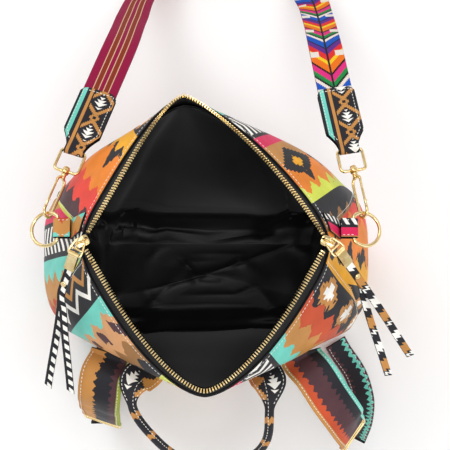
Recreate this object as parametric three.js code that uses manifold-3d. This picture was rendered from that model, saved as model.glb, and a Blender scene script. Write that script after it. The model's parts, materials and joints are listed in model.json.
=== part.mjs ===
// A small printed leather backpack purse, standing on its base with its zip mouth spread wide open.
// Millimetres, +Z up, +Y to the bag's front, -Y to the wearer's back. The origin is on the floor under
// the middle of the base panel.
import * as THREE from "three";
import { mergeVertices } from "three/addons/utils/BufferGeometryUtils.js";
import Module from "manifold-3d";

const wasm = await Module();
wasm.setup();

// Driving dimensions
const gap = 0.35; // clearance between pieces that touch

const baseHalfWidth = 141;
const baseHalfDepth = 65;
const bodyHeight = 262; // floor to the leather rim of the mouth
const bodyLean = 28; // how far the soft mouth slouches towards the back
const mouthTilt = Math.tan(THREE.MathUtils.degToRad(8)); // the front rim stands higher than the back rim
const apexShift = -18; // the front of the mouth is pulled a little to the left
const leather = 1.8;
const liningCloth = 0.9;
const liningSlack = 4; // the lining hangs this far inside the leather
const basePanelThickness = 3;
const baseBoardThickness = 2;
const tuckDepth = 9; // the side gussets fold in below the zip ends

const mouthHalfWidth = 101; // to the zip teeth
const mouthHalfDepth = 119.5;
const zipRise = 6; // the teeth stand this far above the leather rim at the corners
const zipTilt = 0.03; // and rise more at the front than at the back
const tapeThickness = 1;
const liningTop = 0.95; // share of the wall height that the lining reaches
const toothPitch = 2.42;
const toothWidth = 1.25;
const toothLength = 2.1;
const toothSpine = 1.5;
const toothThickness = 2.2;

const sliderLength = 12;
const sliderWidth = 8.6;
const sliderHeight = 5.4;
const sliderPlate = 1.3;
const sliderRoom = 1.6; // the tapes end this far from the sliders, which sit askew
const archHalf = 5;
const archRise = 6.2;
const archRod = 0.9;
const archEyeHeight = 2.6; // the pull's wire above the slider's top plate

const pullRod = 1;
const pullLength = 13;
const pullTopHalf = 3.6; // middle line of the bail at the slider
const pullFootHalf = 5.6; // and at the cap
const capLength = 15;
const capWidth = 8.4;
const capMetal = 0.8;
const stripWidth = 6.6;
const stripThickness = 1.2;
const stripLength = 132;
const rivetRadius = 2.5;
const rivetPlace = 26; // from the strip's fold to the rivet

const ringRadius = 14.4; // to the middle of the wire
const ringWire = 1.5;
const ringBarHalf = 10.5; // half of the straight bar in the tab
const ringTilt = THREE.MathUtils.degToRad(20);
const strapAxisY = 5; // the line through both rings that the shoulder strap swings on
const ringDrop = 26; // that line below the leather rim
const ringTabWidth = 16;
const ringTabLeather = 1.5;
const ringTabLegs = 10.6; // from the gusset to the ring's bar
const tabSeat = 0.5; // the tabs stop this far from the gusset

const hookRod = 1.3;
const hookHalfWidth = 5.5; // middle line of the eye
const hookStraight = 30; // straight stretch of the eye
const hookRoll = THREE.MathUtils.degToRad(30);
const gateRod = 1.1;
const swivelPost = 1.5;
const swivelCollar = 2.3;
const swivelBoss = 3.4;
const swivelBossLength = 5;
const loopRod = 1.4;
const loopWidth = 21.8; // middle line
const loopHeight = 22;
const loopCorner = 4;

const webbingWidth = 30.5;
const webbingThickness = 1.8;
const strapEndWidth = 33;
const strapEndLength = 68;
const strapEndLeather = 1.4;

const anchorGap = 0.5; // sewn ends stop this far from the curve of the back panel
const handleDrop = 84; // sewn ends of the handle below the leather rim
const handleHalfSpread = 48.5;
const strapDrop = 90; // sewn ends of the back straps below the leather rim
const strapHalfSpread = 82;

const handleRoll = 4; // radius of the rolled grip
const handleTabWidth = 31;
const handleTabThickness = 3.2;
const handleTabLength = 44;

const backStrapWidth = 37;
const backStrapThickness = 4.6;
const lowerStrapWidth = 22;
const lowerStrapThickness = 2.4;
const strapSliderRod = 1.5;
const strapSliderReach = 8; // half its length along the strap

const print = { color: 0xb98a4e, roughness: 0.55, metalness: 0 };
const darkPrint = { color: 0x2d2d32, roughness: 0.55, metalness: 0 };
const blackCloth = { color: 0x151517, roughness: 0.7, metalness: 0 };
const board = { color: 0x8a7a62, roughness: 0.9, metalness: 0 };
const gold = { color: 0xd9b25f, roughness: 0.25, metalness: 1 };
const webbing = { color: 0x96234b, roughness: 0.85, metalness: 0 };

const bag = new THREE.Group();

function addPiece(name, geometry, look, parent = bag) {
  const piece = new THREE.Mesh(geometry, new THREE.MeshStandardMaterial(look));
  piece.name = name;
  parent.add(piece);
  return piece;
}

// General shapes

function fromTriangles(points, triangles) {
  const geometry = new THREE.BufferGeometry();
  const places = points.flatMap((p) => [p.x, p.y, p.z]);
  geometry.setAttribute("position", new THREE.Float32BufferAttribute(places, 3));
  geometry.setIndex(triangles);
  let volume = 0;
  for (let i = 0; i < triangles.length; i += 3) {
    const [a, b, c] = [points[triangles[i]], points[triangles[i + 1]], points[triangles[i + 2]]];
    volume += a.dot(new THREE.Vector3().crossVectors(b, c));
  }
  if (volume < 0) {
    geometry.setIndex(triangles.reverse());
  }
  geometry.computeVertexNormals();
  return geometry;
}

// Skin stretched over rings of points. An open row of rings is capped at both ends, a closed one
// runs back to its first ring. The sides in crossed are split along their other diagonal.
function loft(rings, closed = false, crossed = []) {
  const sides = rings[0].length;
  const points = rings.flat();
  const triangles = [];
  const spans = closed ? rings.length : rings.length - 1;
  for (let r = 0; r < spans; r += 1) {
    const low = r * sides;
    const high = ((r + 1) % rings.length) * sides;
    for (let k = 0; k < sides; k += 1) {
      const next = (k + 1) % sides;
      if (crossed.includes(k)) {
        triangles.push(low + k, low + next, high + k, low + next, high + next, high + k);
      } else {
        triangles.push(low + k, low + next, high + next, low + k, high + next, high + k);
      }
    }
  }
  if (!closed) {
    const last = (rings.length - 1) * sides;
    for (let k = 1; k < sides - 1; k += 1) {
      triangles.push(0, k + 1, k);
      triangles.push(last, last + k, last + k + 1);
    }
  }
  return fromTriangles(points, triangles);
}

// A sheet with thickness over a grid: pointAt(u, v, depth) gives the outer face at depth 0.
function thickSheet(pointAt, uSteps, vSteps, thickness) {
  const rings = [];
  for (let i = 0; i <= uSteps; i += 1) {
    const u = i / uSteps;
    const outer = [];
    const inner = [];
    for (let j = 0; j <= vSteps; j += 1) {
      outer.push(pointAt(u, j / vSteps, 0));
      inner.push(pointAt(u, 1 - j / vSteps, thickness));
    }
    rings.push([...outer, ...inner]);
  }
  return stripLoft(rings, vSteps);
}

// As loft, with end caps made as a ladder between the two faces of the sheet.
function stripLoft(rings, vSteps) {
  const sides = rings[0].length;
  const points = rings.flat();
  const triangles = [];
  for (let r = 0; r < rings.length - 1; r += 1) {
    const low = r * sides;
    const high = low + sides;
    for (let k = 0; k < sides; k += 1) {
      const next = (k + 1) % sides;
      triangles.push(low + k, low + next, high + next, low + k, high + next, high + k);
    }
  }
  const last = (rings.length - 1) * sides;
  for (let j = 0; j < vSteps; j += 1) {
    const back = sides - 1 - j;
    triangles.push(j, back, j + 1, j + 1, back, back - 1);
    triangles.push(last + j, last + j + 1, last + back, last + j + 1, last + back - 1, last + back);
  }
  return fromTriangles(points, triangles);
}

// Round rod along a flat curve whose plane has the given normal.
function rod(curve, radius, steps, sides, normal, closed = false) {
  const rings = [];
  const count = closed ? steps : steps + 1;
  for (let i = 0; i < count; i += 1) {
    const place = curve.getPoint(i / steps);
    const side = new THREE.Vector3().crossVectors(curve.getTangent(i / steps), normal).normalize();
    const ring = [];
    for (let k = 0; k < sides; k += 1) {
      const angle = (2 * Math.PI * (k + 0.5)) / sides;
      ring.push(
        place
          .clone()
          .addScaledVector(side, radius * Math.cos(angle))
          .addScaledVector(normal, radius * Math.sin(angle)),
      );
    }
    rings.push(ring);
  }
  return loft(rings, closed);
}

function cylinder(radius, length, sides = 12) {
  return new THREE.CylinderGeometry(radius, radius, length, sides);
}

function solidOf(geometry) {
  const plain = (geometry.index ? geometry : mergeVertices(geometry)).clone();
  plain.deleteAttribute("normal");
  plain.deleteAttribute("uv");
  const merged = mergeVertices(plain, 1e-4);
  const mesh = new wasm.Mesh({
    numProp: 3,
    vertProperties: new Float32Array(merged.attributes.position.array),
    triVerts: new Uint32Array(merged.index.array),
  });
  return new wasm.Manifold(mesh);
}

function geometryOf(solid) {
  const mesh = solid.getMesh();
  const geometry = new THREE.BufferGeometry();
  geometry.setAttribute("position", new THREE.BufferAttribute(new Float32Array(mesh.vertProperties), 3));
  geometry.setIndex(new THREE.BufferAttribute(new Uint32Array(mesh.triVerts), 1));
  geometry.computeVertexNormals();
  return geometry;
}

// A frame at a point, its own y axis along a direction and its x axis level.
function frameAlong(origin, direction, roll = 0) {
  const yAxis = direction.clone().normalize();
  const xAxis = new THREE.Vector3().crossVectors(yAxis, new THREE.Vector3(0, 0, 1)).normalize();
  const zAxis = new THREE.Vector3().crossVectors(xAxis, yAxis);
  const frame = new THREE.Group();
  frame.quaternion.setFromRotationMatrix(new THREE.Matrix4().makeBasis(xAxis, yAxis, zAxis));
  frame.rotateY(roll);
  frame.position.copy(origin);
  bag.add(frame);
  return frame;
}

// A strip folded round a bar: side view with the bar at the origin and the legs along +x.
function hairpin(barClearRadius, thickness, legGap, length) {
  const outerRadius = barClearRadius + thickness;
  const inner = legGap / 2;
  const outer = inner + thickness;
  const taper = Math.min(3 * outerRadius, 0.6 * length);
  const shape = new THREE.Shape();
  shape.absarc(0, 0, outerRadius, Math.PI / 2, (3 * Math.PI) / 2, false);
  shape.lineTo(taper, -outer);
  shape.lineTo(length, -outer);
  shape.lineTo(length, -inner);
  shape.lineTo(taper, -inner);
  shape.absarc(0, 0, barClearRadius, (3 * Math.PI) / 2, Math.PI / 2, true);
  shape.lineTo(taper, inner);
  shape.lineTo(length, inner);
  shape.lineTo(length, outer);
  shape.lineTo(taper, outer);
  shape.closePath();
  return shape;
}

// The hairpin as a solid: legs along +y, width along x, the bar along x.
function foldedStrip(barClearRadius, thickness, legGap, length, width) {
  const shape = hairpin(barClearRadius, thickness, legGap, length);
  const strip = new THREE.ExtrudeGeometry(shape, { depth: width, bevelEnabled: false, curveSegments: 6 });
  strip.translate(0, 0, -width / 2);
  const turn = new THREE.Matrix4().makeBasis(
    new THREE.Vector3(0, 1, 0),
    new THREE.Vector3(0, 0, 1),
    new THREE.Vector3(1, 0, 0),
  );
  return strip.applyMatrix4(turn);
}

// Body of the bag: each level is |x/a|^p + |y/b|^q = 1, nearly a rectangle at the base and a
// round-nosed diamond at the mouth.
const [baseWide, baseDeep] = [baseHalfWidth, baseHalfDepth];
const [mouthWide, mouthDeep] = [mouthHalfWidth, mouthHalfDepth];
const levels = [
  { at: 0, width: baseWide, front: baseDeep, back: baseDeep, p: 6, q: 6 },
  { at: 0.25, width: baseWide + 5, front: baseDeep + 8, back: baseDeep + 8, p: 4.8, q: 4.8 },
  { at: 0.5, width: baseWide + 6, front: baseDeep + 20, back: baseDeep + 18, p: 3.7, q: 3.5 },
  { at: 0.75, width: baseWide - 5, front: mouthDeep - 14, back: mouthDeep - 15, p: 2.7, q: 2.1 },
  { at: 0.9, width: mouthWide + 19, front: mouthDeep - 3, back: mouthDeep - 1, p: 1.95, q: 1.4 },
  { at: 1, width: mouthWide + 8, front: mouthDeep + 2, back: mouthDeep + 5, p: 1.5, q: 1.05 },
];

function levelCurve(key) {
  return (t) => {
    let i = 0;
    while (i < levels.length - 2 && t > levels[i + 1].at) {
      i += 1;
    }
    const slope = (k) => (levels[k + 1][key] - levels[k][key]) / (levels[k + 1].at - levels[k].at);
    const tangent = (k) => {
      if (k === 0) return slope(0);
      if (k === levels.length - 1) return slope(k - 1);
      const [before, after] = [slope(k - 1), slope(k)];
      return before * after <= 0 ? 0 : (2 * before * after) / (before + after);
    };
    const span = levels[i + 1].at - levels[i].at;
    const s = (t - levels[i].at) / span;
    const [low, high] = [levels[i][key], levels[i + 1][key]];
    return (
      low * (1 + 2 * s) * (1 - s) ** 2 +
      high * s * s * (3 - 2 * s) +
      span * (tangent(i) * s * (1 - s) ** 2 + tangent(i + 1) * s * s * (s - 1))
    );
  };
}

const widthAt = levelCurve("width");
const frontAt = levelCurve("front");
const backAt = levelCurve("back");
const pAt = levelCurve("p");
const qAt = levelCurve("q");
const wallFoot = basePanelThickness + gap;

function signedPower(value, power) {
  return Math.sign(value) * Math.abs(value) ** power;
}

// Round bump of height 1 at the middle, 0 beyond the reach.
function bump(distance, reach) {
  const s = Math.min(1, Math.abs(distance) / reach);
  return (1 - s * s) ** 2;
}

function ovalPoint(a, front, back, p, q, shift, angle) {
  const y = signedPower(Math.sin(angle), 2 / q);
  const x = a * signedPower(Math.cos(angle), 2 / p) + shift * Math.max(0, y) ** 2;
  return [x, y * (y > 0 ? front : back)];
}

const rimRound = 0.16; // the back of the rim is rounder than its front

function outerPoint(t, angle) {
  const p = pAt(t) + (Math.sin(angle) < 0 ? rimRound * THREE.MathUtils.smoothstep(t, 0.75, 1) : 0);
  const [x, y] = ovalPoint(widthAt(t), frontAt(t), backAt(t), p, qAt(t), apexShift * t ** 3, angle);
  const fromSide = Math.asin(Math.abs(Math.sin(angle)));
  const tuck = tuckDepth * bump(t - 0.86, 0.3) * bump(fromSide, 0.5);
  return new THREE.Vector3(
    x - Math.sign(Math.cos(angle)) * tuck,
    y - bodyLean * t ** 1.5,
    wallFoot + (bodyHeight - wallFoot) * t + mouthTilt * t * t * y,
  );
}

function wallPoint(t, angle, depth) {
  const place = outerPoint(t, angle);
  if (depth === 0) {
    return place;
  }
  const turn = outerPoint(t, angle + 0.06).sub(outerPoint(t, angle - 0.06));
  const [low, high] = [Math.max(0, t - 0.03), Math.min(1, t + 0.03)];
  const climb = outerPoint(high, angle).sub(outerPoint(low, angle));
  const normal = turn.cross(climb).normalize();
  return place.addScaledVector(normal, -depth);
}

// Panels between the seams: the gussets taper from the base corners to the zip ends.
const panelSteps = 20;
const panelRows = 6;
const seamHalfGap = 0.006;
const seamAtBase = Math.PI / 4;
const seamAtMouth = THREE.MathUtils.degToRad(15);

function seamAngle(t) {
  return THREE.MathUtils.lerp(seamAtBase, seamAtMouth, THREE.MathUtils.smoothstep(t, 0, 1));
}

function panel(startAngle, endAngle, acrossSteps) {
  const pointAt = (u, v, depth) => {
    const from = startAngle(v) + seamHalfGap;
    const to = endAngle(v) - seamHalfGap;
    return wallPoint(v, THREE.MathUtils.lerp(from, to, u), depth);
  };
  return thickSheet(pointAt, acrossSteps, panelRows, leather);
}

addPiece("front_panel", panel(seamAngle, (t) => Math.PI - seamAngle(t), panelSteps), print);
const backPanel = panel((t) => Math.PI + seamAngle(t), (t) => 2 * Math.PI - seamAngle(t), panelSteps);
addPiece("back_panel", backPanel, print);
addPiece("right_gusset", panel((t) => -seamAngle(t), seamAngle, 6), print);
addPiece("left_gusset", panel((t) => Math.PI - seamAngle(t), (t) => Math.PI + seamAngle(t), 6), print);

function baseOutline(inset, z, count) {
  const outline = [];
  for (let k = 0; k < count; k += 1) {
    const angle = (2 * Math.PI * k) / count;
    const [x, y] = ovalPoint(
      baseHalfWidth - inset,
      baseHalfDepth - inset,
      baseHalfDepth - inset,
      levels[0].p,
      levels[0].q,
      0,
      angle,
    );
    outline.push(new THREE.Vector3(x, y, z));
  }
  return outline;
}

addPiece("base_panel", loft([baseOutline(0, 0, 32), baseOutline(0, basePanelThickness, 32)]), print);

const boardInset = leather + 2 * gap;
const boardTop = wallFoot + baseBoardThickness;
const boardRings = [baseOutline(boardInset, wallFoot, 32), baseOutline(boardInset, boardTop, 32)];
addPiece("base_board", loft(boardRings), board);

// Lining: one cloth bag hung inside the leather, up to the sewn edge of the zip tape.
function liningGeometry() {
  const around = 32;
  const floor = boardTop + gap;
  const foot = (floor - wallFoot) / (bodyHeight - wallFoot);
  const rows = 5;
  const ring = (t, depth, z) => {
    const loop = [];
    for (let k = 0; k < around; k += 1) {
      const place = wallPoint(t, (2 * Math.PI * k) / around, depth);
      loop.push(z === undefined ? place : place.setZ(z));
    }
    return loop;
  };
  const outer = leather + liningSlack;
  const rings = [ring(foot, outer + liningCloth, floor + liningCloth)];
  for (let j = 1; j <= rows; j += 1) {
    rings.push(ring(THREE.MathUtils.lerp(foot, liningTop, j / rows), outer + liningCloth));
  }
  for (let j = rows; j >= 1; j -= 1) {
    rings.push(ring(THREE.MathUtils.lerp(foot, liningTop, j / rows), outer));
  }
  rings.push(ring(foot, outer, floor));
  return loft(rings);
}

addPiece("lining", liningGeometry(), blackCloth);

// Zip: the tape is sewn to the rim and carries a row of teeth round each half of the mouth.
const mouthP = 1.38;
const mouthBackP = 1.55; // the back of the mouth is rounder
const mouthQ = 1;
const mouthRim = (x, y) => bodyHeight + zipRise + (mouthTilt + zipTilt) * y;

function teethPoint(angle) {
  const p = Math.sin(angle) < 0 ? mouthBackP : mouthP;
  const [x, y] = ovalPoint(mouthHalfWidth, mouthHalfDepth, mouthHalfDepth, p, mouthQ, apexShift, angle);
  return new THREE.Vector3(x, y - bodyLean, mouthRim(x, y));
}

const zipEndAngle = Math.asin(Math.sqrt((sliderWidth / 2 + sliderRoom) / mouthHalfDepth));

// Outward direction of the tape from the teeth to its sewn edge.
function tapeDirection(angle) {
  return wallPoint(1, angle, leather + gap + tapeThickness / 2)
    .sub(teethPoint(angle))
    .normalize();
}

function tapeNormal(angle) {
  const along = teethPoint(angle + 0.02).sub(teethPoint(angle - 0.02));
  return along.cross(tapeDirection(angle)).normalize();
}

// The tape runs from the inner edge of the leather rim to the teeth. It bends where the panel below
// it bends, so both share their steps along the rim.
function zipTape(turn) {
  const seam = seamAngle(1) + seamHalfGap;
  const steps = [zipEndAngle];
  for (let i = 0; i <= panelSteps; i += 1) {
    steps.push(THREE.MathUtils.lerp(seam, Math.PI - seam, i / panelSteps));
  }
  steps.push(Math.PI - zipEndAngle);
  const pointAt = (u, v, depth) => {
    const angle = turn + steps[Math.round(u * (steps.length - 1))];
    const edge = teethPoint(angle).addScaledVector(tapeDirection(angle), toothSpine + gap);
    const rim = wallPoint(1, angle, leather + gap + tapeThickness / 2);
    return edge.lerp(rim, v).addScaledVector(tapeNormal(angle), depth - tapeThickness / 2);
  };
  return thickSheet(pointAt, steps.length - 1, 2, tapeThickness);
}

addPiece("front_zip_tape", zipTape(0), blackCloth);
addPiece("back_zip_tape", zipTape(Math.PI), blackCloth);

// Places along a half of the mouth at even distances.
function evenAngles(start, end, pitch) {
  const fine = 2000;
  const distance = [0];
  let before = teethPoint(start);
  for (let i = 1; i <= fine; i += 1) {
    const place = teethPoint(THREE.MathUtils.lerp(start, end, i / fine));
    distance.push(distance[i - 1] + place.distanceTo(before));
    before = place;
  }
  const count = Math.floor(distance[fine] / pitch);
  const angles = [];
  let i = 0;
  for (let k = 0; k <= 2 * count; k += 1) {
    const wholePitches = Math.floor(k / 2) * pitch;
    const wanted = wholePitches + (k % 2) * toothWidth;
    while (i < fine - 1 && distance[i + 1] < wanted) {
      i += 1;
    }
    const share = (wanted - distance[i]) / (distance[i + 1] - distance[i]);
    angles.push(THREE.MathUtils.lerp(start, end, (i + share) / fine));
  }
  return angles;
}

// One row of teeth: a comb bent along the mouth, its teeth pointing into the opening.
function zipTeeth(start, end) {
  const angles = evenAngles(start, end, toothPitch);
  const points = [];
  const corner = (angle, outward, side) => {
    const normal = tapeNormal(angle);
    return teethPoint(angle)
      .addScaledVector(tapeDirection(angle), outward)
      .addScaledVector(normal, (side * toothThickness) / 2);
  };
  for (const angle of angles) {
    points.push(corner(angle, toothSpine, 0));
    for (const side of [1, -1]) {
      points.push(corner(angle, 0, side), corner(angle, -toothLength, side));
    }
  }
  const triangles = [];
  const quad = (a, b, c, d) => triangles.push(a, b, c, a, c, d);
  const spine = (k) => k * 5;
  const at = (k, side, row) => k * 5 + 1 + side * 2 + row;
  for (let k = 0; k < angles.length - 1; k += 1) {
    const n = k + 1;
    quad(spine(k), at(k, 0, 0), at(n, 0, 0), spine(n));
    quad(spine(k), spine(n), at(n, 1, 0), at(k, 1, 0));
    if (k % 2 === 0) {
      quad(at(k, 0, 0), at(k, 0, 1), at(n, 0, 1), at(n, 0, 0));
      quad(at(k, 1, 0), at(n, 1, 0), at(n, 1, 1), at(k, 1, 1));
      quad(at(k, 0, 1), at(k, 1, 1), at(n, 1, 1), at(n, 0, 1));
      quad(at(k, 0, 0), at(k, 1, 0), at(k, 1, 1), at(k, 0, 1));
      quad(at(n, 0, 0), at(n, 0, 1), at(n, 1, 1), at(n, 1, 0));
    } else {
      quad(at(k, 0, 0), at(k, 1, 0), at(n, 1, 0), at(n, 0, 0));
    }
  }
  const last = angles.length - 1;
  triangles.push(spine(0), at(0, 1, 0), at(0, 0, 0));
  triangles.push(spine(last), at(last, 0, 0), at(last, 1, 0));
  const used = fromTriangles(points, triangles);
  return mergeVertices(used, 1e-4);
}

const teethEndAngle = zipEndAngle + 0.02;
addPiece("front_zip_teeth", zipTeeth(teethEndAngle, Math.PI - teethEndAngle), gold);
addPiece("back_zip_teeth", zipTeeth(Math.PI + teethEndAngle, 2 * Math.PI - teethEndAngle), gold);

// Zip sliders: two plates round a Y-shaped channel, with an arch on top that holds the pull.
function sliderGeometry() {
  const outline = new THREE.Shape();
  const [nose, half] = [sliderLength / 2, sliderWidth / 2];
  outline.moveTo(-nose, -half + 1);
  outline.quadraticCurveTo(-nose * 0.4, -half, nose * 0.2, -half * 0.8);
  outline.lineTo(nose, -half * 0.62);
  outline.lineTo(nose, half * 0.62);
  outline.lineTo(nose * 0.2, half * 0.8);
  outline.quadraticCurveTo(-nose * 0.4, half, -nose, half - 1);
  outline.closePath();
  const cut = { depth: sliderHeight, bevelEnabled: false, curveSegments: 3 };
  const block = new THREE.ExtrudeGeometry(outline, cut);
  block.translate(0, 0, -sliderHeight / 2);
  const channelHeight = sliderHeight - 2 * sliderPlate;
  const straight = new THREE.BoxGeometry(sliderLength, 2.4, channelHeight).translate(nose, 0, 0);
  let body = solidOf(block).subtract(solidOf(straight));
  for (const side of [1, -1]) {
    const arm = new THREE.BoxGeometry(sliderLength, 2.2, channelHeight).translate(-nose, 0, 0);
    arm.rotateZ(-side * THREE.MathUtils.degToRad(24));
    body = body.subtract(solidOf(arm));
  }
  const arch = new THREE.CatmullRomCurve3(
    [-1, -0.8, 0, 0.8, 1].map(
      (share) => new THREE.Vector3(archHalf * share, 0, sliderHeight / 2 - 0.6 + archRise * (1 - share ** 4)),
    ),
  );
  return geometryOf(body.add(solidOf(rod(arch, archRod, 10, 6, new THREE.Vector3(0, 1, 0)))));
}

// Zip pulls: a wire bail in the slider's arch, a folded metal cap on the bail and a leather strip
// doubled in the cap and held by a rivet.
function bailGeometry() {
  const corners = [
    [-pullTopHalf, 0],
    [pullTopHalf, 0],
    [pullFootHalf, pullLength - 4],
    [pullFootHalf, pullLength],
    [-pullFootHalf, pullLength],
    [-pullFootHalf, pullLength - 4],
  ].map(([x, y]) => new THREE.Vector3(x, y, 0));
  const smooth = new THREE.CatmullRomCurve3(corners, true, "catmullrom", 0.15);
  const frame = rod(smooth, pullRod, 22, 5, new THREE.Vector3(0, 0, 1), true);
  const bar = cylinder(pullRod * 0.8, 2 * pullFootHalf - 0.6, 6).rotateZ(Math.PI / 2);
  bar.translate(0, pullLength - 5, 0);
  return geometryOf(solidOf(frame).add(solidOf(bar)));
}

function tasselGeometry(spread, lean) {
  const half = stripWidth / 2;
  const leg = (turn) => {
    const knee = new THREE.Vector2(0, rivetPlace + 6);
    const pivot = new THREE.Vector2();
    const tip = new THREE.Vector2(0, stripLength - rivetPlace).rotateAround(pivot, turn).add(knee);
    const side = new THREE.Vector2(half, 0).rotateAround(pivot, turn);
    const slant = new THREE.Vector2(0, stripWidth * 0.6);
    const shape = new THREE.Shape();
    shape.moveTo(-half, 0);
    shape.lineTo(half, 0);
    shape.lineTo(half, knee.y);
    shape.lineTo(tip.x + side.x, tip.y + side.y);
    shape.lineTo(tip.x - side.x, tip.y - side.y - slant.y);
    shape.lineTo(-half, knee.y);
    shape.closePath();
    return new THREE.ExtrudeGeometry(shape, { depth: stripThickness, bevelEnabled: false });
  };
  const upper = leg(lean + spread).translate(0, 0, gap / 2);
  const lower = leg(lean - spread).translate(0, 0, -gap / 2 - stripThickness);
  const fold = new THREE.BoxGeometry(stripWidth, 4, 2 * stripThickness + gap).translate(0, 2, 0);
  const hole = cylinder(rivetRadius * 0.5 + gap, 12, 8).rotateX(Math.PI / 2).translate(0, rivetPlace, 0);
  return geometryOf(solidOf(upper).add(solidOf(lower)).add(solidOf(fold)).subtract(solidOf(hole)));
}

function rivetGeometry() {
  const face = stripThickness + gap / 2 + gap;
  const profile = [
    [0, -face - 1.1],
    [rivetRadius * 0.7, -face - 1],
    [rivetRadius, -face - 0.4],
    [rivetRadius, -face],
    [rivetRadius * 0.5, -face],
    [rivetRadius * 0.5, face],
    [rivetRadius, face],
    [rivetRadius, face + 0.4],
    [rivetRadius * 0.7, face + 1],
    [0, face + 1.1],
  ].map(([x, y]) => new THREE.Vector2(x, y));
  return new THREE.LatheGeometry(profile, 10).rotateX(Math.PI / 2);
}

const capLegGap = 2 * stripThickness + 3 * gap;
const stripStart = 5; // the strip's fold lies this far from the bail bar, inside the cap
const pulls = {
  left: { sliderTurn: 211, pullTurn: 243, spread: 0.1, lean: 0.25 },
  right: { sliderTurn: -24, pullTurn: -45, spread: 0.13, lean: -0.14 },
};
const pullSlope = 8; // degrees below level
const tasselSlope = 46;

function towards(turn, slope) {
  const [a, b] = [THREE.MathUtils.degToRad(turn), THREE.MathUtils.degToRad(slope)];
  return new THREE.Vector3(Math.cos(a) * Math.cos(b), Math.sin(a) * Math.cos(b), -Math.sin(b));
}

for (const [side, sign] of [["left", -1], ["right", 1]]) {
  const corner = new THREE.Vector3(sign * mouthHalfWidth, -bodyLean, bodyHeight + zipRise);
  const seat = new THREE.Group();
  seat.position.copy(corner);
  seat.rotation.z = THREE.MathUtils.degToRad(pulls[side].sliderTurn);
  bag.add(seat);
  addPiece(`${side}_slider`, sliderGeometry(), gold, seat);

  const archEye = corner.clone().add(new THREE.Vector3(0, 0, sliderHeight / 2 + archEyeHeight));
  const bailDirection = towards(pulls[side].pullTurn, pullSlope);
  const bailFrame = frameAlong(archEye, bailDirection);
  bailFrame.name = `${side}_pull_frame`;
  addPiece(`${side}_pull`, bailGeometry(), gold, bailFrame);

  const barPlace = archEye.clone().addScaledVector(bailDirection, pullLength);
  const tasselFrame = frameAlong(barPlace, towards(pulls[side].pullTurn, tasselSlope));
  tasselFrame.name = `${side}_tassel_frame`;
  const cap = foldedStrip(pullRod + 2 * gap, capMetal, capLegGap, capLength, capWidth);
  addPiece(`${side}_tassel_cap`, cap, gold, tasselFrame);
  const strip = tasselGeometry(pulls[side].spread, pulls[side].lean).translate(0, stripStart, 0);
  addPiece(`${side}_tassel_strip`, strip, darkPrint, tasselFrame);
  const rivet = rivetGeometry().translate(0, stripStart + rivetPlace, 0);
  addPiece(`${side}_tassel_rivet`, rivet, gold, tasselFrame);
}

// Rings at the mouth corners, each in a folded leather tab sewn on the gusset.
const strapAxisZ = bodyHeight - ringDrop;
const ringCentreY = strapAxisY - ringRadius;
const ringBarOffset = Math.sqrt(ringRadius ** 2 - ringBarHalf ** 2); // bow centre to the bar
const ringBarZ = strapAxisZ + ringBarOffset * Math.sin(ringTilt);
const tabFold = ringWire + 2 * gap;
const tabHalfHeight = tabFold + ringTabLeather + 1;

// A place on the gusset as it is built, in flat strips from row to row.
function gussetPlace(sign, t, across) {
  const row = Math.min(panelRows - 1, Math.floor(t * panelRows));
  const onRow = (k) => {
    const turn = seamAngle(k / panelRows) * across;
    return outerPoint(k / panelRows, sign > 0 ? turn : Math.PI - turn);
  };
  return onRow(row).lerp(onRow(row + 1), t * panelRows - row);
}

// How far the gusset stands out beside a tab.
function gussetReach(sign) {
  let reach = 0;
  for (let t = 0.7; t <= 1; t += 0.005) {
    for (let across = -1; across <= 1; across += 0.04) {
      const place = gussetPlace(sign, t, across);
      const beside = Math.abs(place.y - ringCentreY) < ringTabWidth / 2 + 1;
      if (beside && Math.abs(place.z - ringBarZ) < tabHalfHeight) {
        reach = Math.max(reach, Math.abs(place.x));
      }
    }
  }
  return reach;
}

const ringBarX = Math.max(gussetReach(1), gussetReach(-1)) + tabSeat + ringTabLegs;
const ringHalfSpread = ringBarX + ringBarOffset * Math.cos(ringTilt); // to the centre of a ring's bow

function ringGeometry() {
  const start = Math.atan2(ringBarHalf, -ringBarOffset);
  const path = [
    new THREE.Vector3(-ringBarOffset, -ringBarHalf / 2, 0),
    new THREE.Vector3(-ringBarOffset, ringBarHalf / 2, 0),
  ];
  for (let k = 0; k <= 10; k += 1) {
    const angle = THREE.MathUtils.lerp(start, -start, k / 10);
    path.push(new THREE.Vector3(ringRadius * Math.cos(angle), ringRadius * Math.sin(angle), 0));
  }
  const curve = new THREE.CatmullRomCurve3(path, true, "catmullrom", 0.4);
  return rod(curve, ringWire, 26, 6, new THREE.Vector3(0, 0, 1), true);
}

for (const [side, sign] of [["left", -1], ["right", 1]]) {
  const ringFrame = new THREE.Group();
  ringFrame.name = `${side}_ring_frame`;
  ringFrame.position.set(sign * ringHalfSpread, ringCentreY, strapAxisZ);
  ringFrame.rotation.set(0, sign > 0 ? ringTilt : Math.PI - ringTilt, 0);
  bag.add(ringFrame);
  addPiece(`${side}_ring`, ringGeometry(), gold, ringFrame);

  const legs = ringBarX - gussetReach(sign) - tabSeat;
  const tab = foldedStrip(tabFold, ringTabLeather, 2 * tabFold, legs, ringTabWidth);
  tab.rotateZ(sign > 0 ? Math.PI / 2 : -Math.PI / 2).translate(sign * ringBarX, ringCentreY, ringBarZ);
  addPiece(`${side}_ring_tab`, tab, print);
}

// Shoulder strap: at each end a snap hook on the ring, its swivel, a wire loop and a folded leather
// end piece with the webbing sewn inside.
const flatNormal = new THREE.Vector3(1, 0, 0);
const eyeTop = hookStraight + hookHalfWidth;
const bossMiddle = eyeTop + hookRod + 3 + gap + swivelBossLength / 2;
const loopBar = bossMiddle + loopHeight;
const gateStart = 3;

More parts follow.
